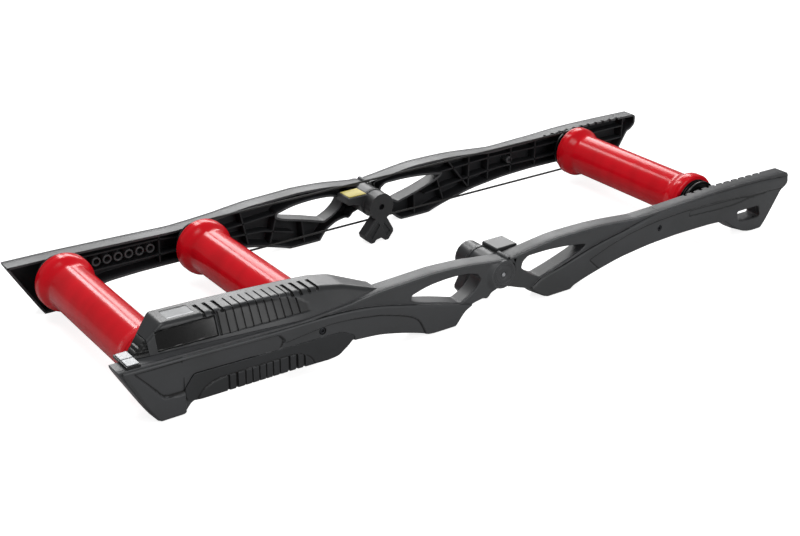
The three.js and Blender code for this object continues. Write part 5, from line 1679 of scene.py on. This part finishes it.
@dataclass
class HoodShape:
    """The brake's upper hood as sections along the beam, on the right side where it sits.

    Each station is its place along the object, the height of its top, where its inner side is, and where
    its outer side is at the top and at the foot.
    """

    stations: tuple[tuple[float, ...], ...] = (
        (-0.655, 0.104, -0.180, -0.200, -0.208), (-0.606, 0.139, -0.147, -0.196, -0.211),
        (-0.520, 0.1365, -0.147, -0.196, -0.216), (-0.440, 0.1329, -0.147, -0.196, -0.221),
        (-0.375, 0.1292, -0.147, -0.196, -0.225), (-0.335, 0.1263, -0.147, -0.197, -0.227),
        (-0.300, 0.121, -0.151, -0.202, -0.228), (-0.244, 0.1038, -0.180, -0.213, -0.228))
    split: float = -0.632
    foot: float = 0.086
    skirt: float = -0.2245
    wall: float = 0.0036
    soft: float = 0.0035
    inner_corner: float = 0.004
    outer_corner: float = 0.0065
    room: float = 0.0522
    rear_wide: Grooves = Grooves(-0.541, 3, 0.015, 0.0052, 0.0028)
    rear_foot: float = 0.131
    front_wide: Grooves = Grooves(-0.392, 4, 0.015, 0.0052, 0.0028)
    front_foot: float = 0.1215
    fine: Grooves = Grooves(-0.492, 8, 0.0132, 0.0022, 0.0016)
    side: Grooves = Grooves(-0.5184, 11, 0.0132, 0.0021, 0.0016)
    side_length: float = 0.152
    side_sink: float = 0.0007
    panel: tuple[float, float] = (-0.6185, -0.5225)
    panel_sink: float = 0.003
    label: tuple[float, float] = (-0.592, -0.549)
    label_sink: float = 0.0005
    field: tuple = ((-0.530, 0.1335), (-0.500, 0.1338), (-0.471, 0.1332), (-0.445, 0.1315),
                    (-0.418, 0.1288), (-0.400, 0.1258), (-0.386, 0.122), (-0.375, 0.1165), (-0.368, 0.110))
    fins: Grooves = Grooves(0.103, 5, 0.004, 0.0018, 0.0016)

    def places(self, start: float, end: float) -> Array:
        """Places of the sections: every 3 mm, and close together at groove edges and panel edges.

        Args:
            start: rear end.
            end: front end.

        Returns:
            The places, in order.
        """
        rows = (self.rear_wide, self.front_wide, self.fine, self.side)
        marks = np.array([x for row in rows for x in row.edges()] + [*self.panel, *self.label])
        near = (marks[:, None] + [-0.0004, 0.0, 0.0004]).ravel()
        x = np.unique(np.round(np.concatenate([np.arange(start, end, 0.003), near, [start, end]]), 5))
        return x[(x >= start) & (x <= end)]

    def station(self, x: Array) -> Array:
        """The stations' sizes at places x: straight lines between stations, each averaged over a window of
        the width soft so that the ridges between them are round.

        Args:
            x: n places.

        Returns:
            n x 4 values.
        """
        table = np.array(self.stations)
        shifts = np.linspace(-1, 1, 9) * self.soft
        reach = np.clip(x[:, None] + shifts, table[0, 0], table[-1, 0])
        return np.stack([np.interp(reach, table[:, 0], table[:, k]).mean(1) for k in range(1, 5)], -1)

    def lower_edge(self, x: Array) -> tuple[Array, Array]:
        """Heights of the hood's edge: inside, where it arches over a drum as axis + sqrt(r^2 - dx^2), and
        outside, where it sits on the beam.

        Args:
            x: n places.

        Returns:
            The inner and the outer heights.
        """
        lowest = np.full_like(x, self.foot)
        for roller in (AXLES["rear"], AXLES["middle"]):
            arch = AXLE_HEIGHT + np.sqrt(np.maximum(self.room ** 2 - (x - roller) ** 2, 0))
            lowest = np.maximum(lowest, np.where(np.abs(x - roller) < self.room, arch, 0))
        line = Drawing.place((Drawing.REAR[0], *Drawing.REAR_TOP[::-1], Drawing.HINGE))
        return lowest, np.interp(x, *line.T) + 0.0004

    def section(self, x: Array, drawn: float) -> tuple[Array, Array]:
        """All sections, drawn in by a wall: up the inner side, round a corner, across, round the outer
        corner and down the outer side. Corners are the curve (1 - t)^2 a + 2 t (1 - t) b + t^2 c.

        Args:
            x: places of the sections.
            drawn: how far inside the outer skin.

        Returns:
            n x m x 3 points and the share of each along its section's parts, from 0 to 5.
        """
        top, inner, shoulder, skirt = self.station(x).T
        skirt = np.maximum(skirt, self.skirt)
        low_in, low_out = self.lower_edge(x)
        top, inner = top - drawn, inner - drawn
        shoulder, skirt = shoulder + drawn, skirt + drawn
        slope = (skirt - shoulder) / (self.foot - top)
        seat = shoulder + slope * (low_out - top)
        low_in = np.minimum(low_in, top - self.inner_corner - 0.001)
        a, b = self.inner_corner, np.minimum(self.outer_corner, 0.4 * (inner - shoulder))
        b = np.minimum(b, 0.45 * (top - low_out))
        corner, far = np.stack([inner, top]), np.stack([shoulder, top])
        stops = [np.stack([inner, low_in]), corner + [[0], [-a]], corner + [[-a], [0]],
                 far + np.stack([b, 0 * b]), far + np.stack([slope * -b, -b]), np.stack([seat, low_out])]
        rows, marks = [], []
        for k, (steps, via) in enumerate(((6, None), (6, corner), (46, None), (10, far), (34, None))):
            p, q = stops[k:k + 2]
            t = np.linspace(0, 1, steps + 1)[(0 if k == 0 else 1):, None, None]
            if via is None:
                rows.append(p * (1 - t) + q * t)
            else:
                rows.append(p * (1 - t) ** 2 + via * 2 * t * (1 - t) + q * t * t)
            marks.append(k + t[:, 0, 0])
        path = np.concatenate(rows).transpose(2, 0, 1)
        points = np.concatenate([np.broadcast_to(x[:, None, None], (*path.shape[:2], 1)), path], -1)
        return points, np.concatenate(marks)

    def sunk(self, points: Array, part: Array) -> Array:
        """How deep every point of the outer skin is pressed in: deep and fine grooves over the shoulder,
        upright grooves and a smooth panel in the side, a place for a label on top and slots in the rear
        slope.

        Args:
            points: n x m x 3 points of the skin.
            part: share along the section's parts, from 0 to 5.

        Returns:
            n x m depths.
        """
        x, _, z = points.transpose(2, 0, 1)
        across = np.broadcast_to(part, x.shape)
        over, arch = smooth_step(across, 2.33, 2.37), self.arch(x)
        depths = []
        front_foot = np.maximum(arch, self.front_foot) + 0.001
        for row, foot in ((self.rear_wide, self.rear_foot), (self.front_wide, front_foot)):
            depths.append(row.depth * row.cut(x) * over * smooth_step(z, foot, foot + 0.001))
        end = np.where(across > 3.3, smooth_step(z, arch + 0.0016, arch + 0.0022), 1)
        depths.append(self.fine.depth * self.fine.cut(x) * over * end)
        field = smooth_step(z, 0.1005, 0.1013) * (1 - smooth_step(z, arch - 0.0005, arch + 0.0003))
        field = field * smooth_step(across, 3.2, 3.4) * plateau(x, self.side.start - 0.002, self.side_length)
        bars = (self.side_sink + self.side.depth) * self.side.cut(x)
        depths.append(field * np.maximum(self.side_sink, bars))
        pane = plateau(x, self.panel[0], self.panel[1] - self.panel[0]) * smooth_step(across, 3.6, 3.8)
        pane = pane * smooth_step(z, 0.1008, 0.1018) * (1 - smooth_step(z, 0.129, 0.1305))
        tag = plateau(x, self.label[0], self.label[1] - self.label[0])
        tag = tag * smooth_step(across, 2.16, 2.18) * (1 - smooth_step(across, 2.78, 2.8))
        slots = self.fins.cut(z) * (x < self.split - 0.0002)
        depths += [self.panel_sink * pane, self.label_sink * tag, self.fins.depth * slots]
        return np.max(depths, axis=0)

    def arch(self, x: Array) -> Array:
        """Upper edge of the grooved field in the side, a line through the points of the field."""
        return np.interp(x, *np.array(self.field).T)

    def shell(self, start: float, end: float) -> Shell:
        """A closed shell from one place to another, with the nose closed if it ends there.

        Args:
            start: rear end.
            end: front end.

        Returns:
            The shell.
        """
        x = self.places(start, end)
        skin, part = self.section(x, 0.0)
        along = np.gradient(skin, axis=1)
        normal = np.stack([0 * along[..., 0], along[..., 2], -along[..., 1]], -1)
        normal /= np.linalg.norm(normal, axis=-1, keepdims=True)
        middle = skin.mean(1, keepdims=True)
        normal *= np.sign(((middle - skin) * normal).sum(-1, keepdims=True).sum(1, keepdims=True))
        depth = self.sunk(skin, part)
        skin = skin + normal * depth[..., None]
        nose = end >= self.stations[-1][0] - 1e-6
        lining = self.section(np.minimum(x, end - self.wall) if nose else x, self.wall)[0]
        if nose:
            tips = [[g[-1, 0, 0], g[-1, :, 1].mean(), g[-1, -1, 2]] for g in (skin, lining)]
            skin, lining = (np.concatenate([g, np.broadcast_to(tip, (1, g.shape[1], 3))])
                            for g, tip in zip((skin, lining), tips))
            depth = np.vstack([depth, depth[-1:]])
        # the skin's depth is kept as its cavity, so the hood's grooves, side pane and label place get painted
        # shade
        return closed_sheet(skin, lining, depth)


@dataclass
class BrakeUnit:
    """The hooded brake on the right rear beam and its working parts."""

    angle: float = 36.0
    disc: tuple[tuple[float, float], ...] = (
        (0.015, -0.1833), (0.044, -0.1833), (0.044, -0.1863), (0.015, -0.1863))

    def build(self) -> None:
        """Builds and dresses the hood, the cover and what is under them."""
        shape = HoodShape()
        rear, nose = shape.stations[0][0], shape.stations[-1][0]
        hood = made("brake_hood", [shape.shell(shape.split, nose)], "rear_frame", "hood_plastic", Coat.HOOD,
                    "resistance_hood", angle=self.angle, near=1e-6)
        self.dress(hood.data, shape)
        made("brake_rear_grille", [shape.shell(rear, shape.split - 0.0003)], "rear_frame", "black_plastic",
             Coat.PLAIN, "hood_rear_grille", angle=self.angle, near=1e-6)
        made("brake_lower_cover", [SideRelief().cover_shell()], "rear_frame", "hood_plastic", Coat.HOOD,
             "resistance_lower_cover", -1, self.angle, 0)
        copied("brake_base_tray", "hood_base_tray", "rear_frame", "black_plastic", Coat.PLAIN, 34)
        copied("magnet_guide_rails", "magnet_guide", "rear_frame", "black_plastic", Coat.PLAIN, 34)
        copied("magnet_sled", "magnet_carriage", "brake_carriage", "black_plastic", Coat.PLAIN, 34)
        for place in ("outer", "inner"):
            copied(f"contact_{place}", f"contact_pad_{place}", "rear_frame", "pale_plastic", Coat.PAD, 30,
                   0.0003)
        disc = turned(AXLES["rear"], AXLE_HEIGHT, rounded(self.disc, 0.0004, 2), 128)
        made("brake_disc_ring", [disc], "rear_roller", "aluminium", Coat.DISC, "brake_disc")
        for i in (1, 2):
            copied(f"magnet_button_{i}", f"magnet_{i}", "brake_carriage", "steel", Coat.STEEL, 65)
        copied("brake_motor_can", "brake_motor", "rear_frame", "steel", Coat.STEEL, 50)
        copied("control_board_plate", "control_board", "rear_frame", "board_green", Coat.BOARD, 30)

    def dress(self, mesh: bpy.types.Mesh, shape: HoodShape) -> None:
        """Gives the sunk side window a glossy smoked finish and the sunk place on top a blank label.

        Args:
            mesh: the hood's mesh.
            shape: the hood's sizes.
        """
        for coat in (Coat.PANE, Coat.LABEL):
            mesh.materials.append(coat.value.material())
        x, y, z = (face_values(mesh, "center") - HUB).T
        pane = (x > shape.panel[0]) & (x < shape.panel[1]) & (z > 0.1014) & (z < 0.1297) & (y < -0.185)
        tag = (x > shape.label[0]) & (x < shape.label[1]) & (z > 0.133) & (y < -0.161) & (y > -0.185)
        mesh.polygons.foreach_set("material_index", (pane + 2 * tag).astype(np.int32))


@dataclass
class SlidingAxle:
    """The blocks that carry the front axle."""

    bevel: float = 0.0006

    def build(self) -> None:
        """Copies both blocks with bevelled edges and dresses them."""
        for side, _ in SIDES:
            copied(f"axle_block_{side}", f"front_axle_block_{side}", "front_carriage", "black_plastic",
                   Coat.PLAIN, 32, self.bevel)


@dataclass
class Studio:
    """Camera, floor, lamps and world: a plain pale setting. A lamp is its name, place, the point it looks
    at, its width and height in metres, and its watts."""

    place: tuple[float, float, float] = (-1.35478, -1.8266, 1.0423)
    azimuth: float = -35.39
    elevation: float = 24.80
    roll: float = 0.47
    lens: float = 62.16
    sensor: float = 36.0
    floor_size: float = 24.0
    floor_colour: str = "#bebebe"
    floor_glow: float = 0.85
    world_light: float = 0.3
    lamps: tuple[tuple, ...] = (
        ("key", (-1.1, -0.4, 2.9), (0, 0, 0), (1.2, 1.2), 34),
        ("strip", (0.1, 2.5, 2.1), (-0.1, 0, 0.05), (0.5, 1.6), 34),
        ("sheen", (2.1, 3.2, 2.1), (0, 0, 0.05), (2.6, 1.6), 95),
        ("front", (0.5, -3.0, 1.3), (0, 0, 0.05), (2.2, 1.0), 34))

    def build(self) -> None:
        """Makes the setting."""
        self.camera()
        self.floor()
        self.world()
        for lamp in self.lamps:
            self.lamp(*lamp)

    def camera(self) -> None:
        """A camera whose axes come from its azimuth, elevation and roll."""
        a, e, r = (math.radians(v) for v in (self.azimuth, self.elevation, self.roll))
        forward = Vector((-math.sin(a) * math.cos(e), math.cos(a) * math.cos(e), -math.sin(e)))
        right = Vector((math.cos(a), math.sin(a), 0))
        up = right.cross(forward)
        right, up = math.cos(r) * right + math.sin(r) * up, math.cos(r) * up - math.sin(r) * right
        data = bpy.data.cameras.new("camera")
        data.lens, data.sensor_width = self.lens, self.sensor
        camera = link("camera", data)
        turn = Matrix((right, up, -forward)).transposed().to_4x4()
        camera.matrix_world = Matrix.Translation(self.place) @ turn
        bpy.context.scene.camera = camera

    def lamp(self, name: str, place: tuple[float, float, float], target: tuple[float, float, float],
             size: tuple[float, float], power: float) -> None:
        """A softbox that looks at a point.

        Args:
            name: the lamp's name.
            place: its centre.
            target: the point it looks at.
            size: its width and height in metres.
            power: watts.
        """
        data = bpy.data.lights.new(name, "AREA")
        data.shape, data.energy = "RECTANGLE", power
        data.size, data.size_y = size
        lamp = link(name, data)
        lamp.location = place
        lamp.rotation_mode = "QUATERNION"
        lamp.rotation_quaternion = (Vector(target) - Vector(place)).to_track_quat("-Z", "Y")

    def floor(self) -> None:
        """A pale floor that shows white to the camera and keeps the object's shadow."""
        half = self.floor_size / 2
        mesh = bpy.data.meshes.new("floor")
        corners = [(-half, -half, 0), (half, -half, 0), (half, half, 0), (-half, half, 0)]
        mesh.from_pydata(corners, [], [(0, 1, 2, 3)])
        material = bpy.data.materials.new("pale_studio_floor")
        material.use_nodes = True
        shader = material.node_tree.nodes["Principled BSDF"]
        shader.inputs["Base Color"].default_value = linear(self.floor_colour)
        shader.inputs["Roughness"].default_value = 0.9
        shader.inputs["Emission Color"].default_value = (1, 1, 1, 1)
        self.glow(material.node_tree, shader.inputs["Emission Strength"], 0.0, self.floor_glow)
        mesh.materials.append(material)
        link("floor", mesh)

    def world(self) -> None:
        """Even pale light, plain white where the camera looks at it."""
        world = bpy.data.worlds.new("studio")
        world.use_nodes = True
        background = world.node_tree.nodes["Background"]
        background.inputs["Color"].default_value = (1, 1, 1, 1)
        self.glow(world.node_tree, background.inputs["Strength"], self.world_light, 1.0)
        bpy.context.scene.world = world

    @staticmethod
    def glow(tree: Tree, strength: Socket, light: float, shown: float) -> None:
        """Links a strength that is one value for light and another for what the camera sees.

        Args:
            tree: the node tree.
            strength: the input to link.
            light: strength as light.
            shown: strength as a background.
        """
        seen = put(tree, "LightPath").outputs["Is Camera Ray"]
        level = put(tree, "MapRange", {"Value": seen, "To Min": light, "To Max": shown})
        tree.links.new(level.outputs[0], strength)


def main() -> None:
    """Builds the setting and the object in order."""
    logging.basicConfig(level=logging.INFO, format="%(name)s: %(message)s")
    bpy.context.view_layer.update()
    bpy.context.scene.view_settings.view_transform = "Standard"
    parts = (Studio(), SideBeams(), Rollers(), Fasteners(), Hinges(), DriveBelt(), BrakeUnit(),
             SlidingAxle())
    for part in parts:
        part.build()
        log.info("%s built", type(part).__name__)


if __name__ == "__main__":
    main()
